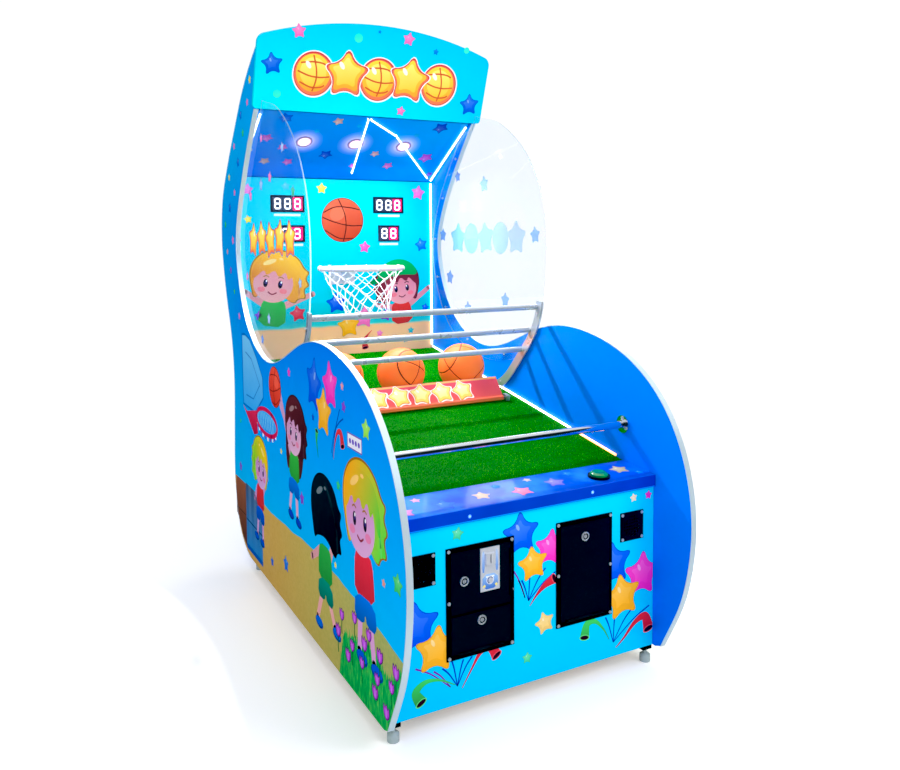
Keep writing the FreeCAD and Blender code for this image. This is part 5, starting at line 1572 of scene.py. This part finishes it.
# ---------------------------------------------------------------- floor and world
def floor():
    """White grid whose visible part turns into the backdrop white far out."""
    cells, half, z = 24, 14, -0.0005
    verts = [(-half + 2.0 * half * i / cells, -half + 2.0 * half * j / cells, z)
             for j in range(cells + 1) for i in range(cells + 1)]
    corners = [j * (cells + 1) + i for j in range(cells) for i in range(cells)]
    mesh = bpy.data.meshes.new("studio_floor")
    mesh.from_pydata(verts, [], [(a, a + 1, a + cells + 2, a + cells + 1) for a in corners])
    stage = add_object("studio_floor", mesh)
    stage.visible_glossy = False
    mat = Material("studio_floor_white", rough=0.75, specular=0.1)
    x, y, _ = mat.split()
    radius = mat.math("SQRT", mat.plus(mat.times(x, x), mat.times(y, y)))
    far = mat.remap(radius, 1.5, 2.8, interpolation_type="SMOOTHSTEP")
    seen = mat.node("LightPath", output="Is Camera Ray")
    colour = mat.mix(mat.times(far, seen), (0.93, 0.93, 0.94, 1), (0.0, 0.0, 0.0, 1))
    white = mat.finish(colour, mottle=0.004, patch=1.5, spread=0.02)
    mat.glow((1, 1, 1, 1), mat.times(mat.plus(mat.times(far, 0.76), 0.26), seen))
    mesh.materials.append(white)


def studio_world():
    """White to the camera, soft light on surfaces, bright bands in reflections."""
    world = bpy.data.worlds.new("studio")
    bpy.context.scene.world = world
    graph = Graph(world, clear=True)
    backdrop = graph.node("Background", {0: (1, 1, 1, 1), 1: 1.0})
    ambient = graph.node("Background", {0: (0.94, 0.97, 1.0, 1), 1: 0.62})
    direction = graph.coords.node.outputs["Generated"]
    height = graph.remap(graph.split(direction)[2], -1.0, 1.0)
    # Middle stops: position from straight down to straight up, brightness
    bands = [(at, (v * 0.96, v * 0.98, v, 1)) for at, v in (
        (0.16, 0.55), (0.24, 0.03), (0.74, 0.02), (0.80, 0.55), (0.86, 1.0), (0.94, 1.0))]
    ramp = graph.ramp(height, [(0.0, (0.30, 0.31, 0.33, 1)), *bands, (1.0, (1, 1, 1, 1))])
    mirrored = graph.node("Background", {0: ramp, 1: 0.9})
    glossy = graph.node("LightPath", output="Is Glossy Ray")
    lighting = graph.mix_shader(glossy, ambient, mirrored)
    seen = graph.mix_shader(glossy.node.outputs["Is Camera Ray"], lighting, backdrop)
    graph.surface("OutputWorld", seen)


# ---------------------------------------------------------------- lights
def area(name, place, target, size, power, colour=(1, 1, 1), size_y=None, reflected=True):
    light = bpy.data.lights.new(name, "AREA")
    light.energy, light.size, light.color = power, size, colour
    if size_y:
        light.shape, light.size_y = "RECTANGLE", size_y
    lamp = add_object(name, light)
    lamp.location = place
    aim = Vector(target) - Vector(place)
    lamp.rotation_euler = aim.to_track_quat("-Z", "Y").to_euler()
    lamp.visible_glossy = reflected


def downlight(name, place):
    light = bpy.data.lights.new(name, "SPOT")
    light.energy, light.color, light.shadow_soft_size = 27.0, (1.0, 0.96, 0.97), 0.010
    light.spot_size, light.spot_blend = math.radians(112), 0.5
    lamp = add_object(name, light)
    lamp.location = place
    lamp.rotation_euler = Vector((0, -0.70, -1.0)).to_track_quat("-Z", "Y").to_euler()


def lights():
    middle = (0, 0, 0.9)
    area("key", (2.6, -4.2, 4.2), middle, size=2.6, power=120, reflected=False)
    area("fill_left", (-4.6, -2.6, 2.6), middle, size=3.2, power=42, reflected=False)
    area("front_low", (-0.6, -5.2, 1.4), (0, -0.6, 0.7), size=2.6, power=26, reflected=False)
    area("top", (0.0, 0.4, 5.2), (0, 0, 0), size=4.0, power=60)
    area("rim", (3.6, 3.4, 3.4), (0, 0, 1.1), size=2.4, power=60)
    for k, lamp in enumerate(LAMPS):
        downlight("downlight_%d" % k, lamp + CEILING_NORMAL * 0.030)
    area("interior", pos(0, 1220, 1640), pos(0, 1320, 800), size=0.75, power=2.9,
         colour=(0.95, 0.98, 1.0), size_y=0.34)


def view_settings():
    view = bpy.context.scene.view_settings
    view.view_transform = "Standard"
    view.look = "None"
    view.exposure = 0.0
    view.use_curve_mapping = True
    view.curve_mapping.black_level = (0.016, 0.008, 0.008)
    view.curve_mapping.white_level = (0.97, 0.97, 0.97)
    view.curve_mapping.update()


camera()
floor()
studio_world()
lights()
view_settings()
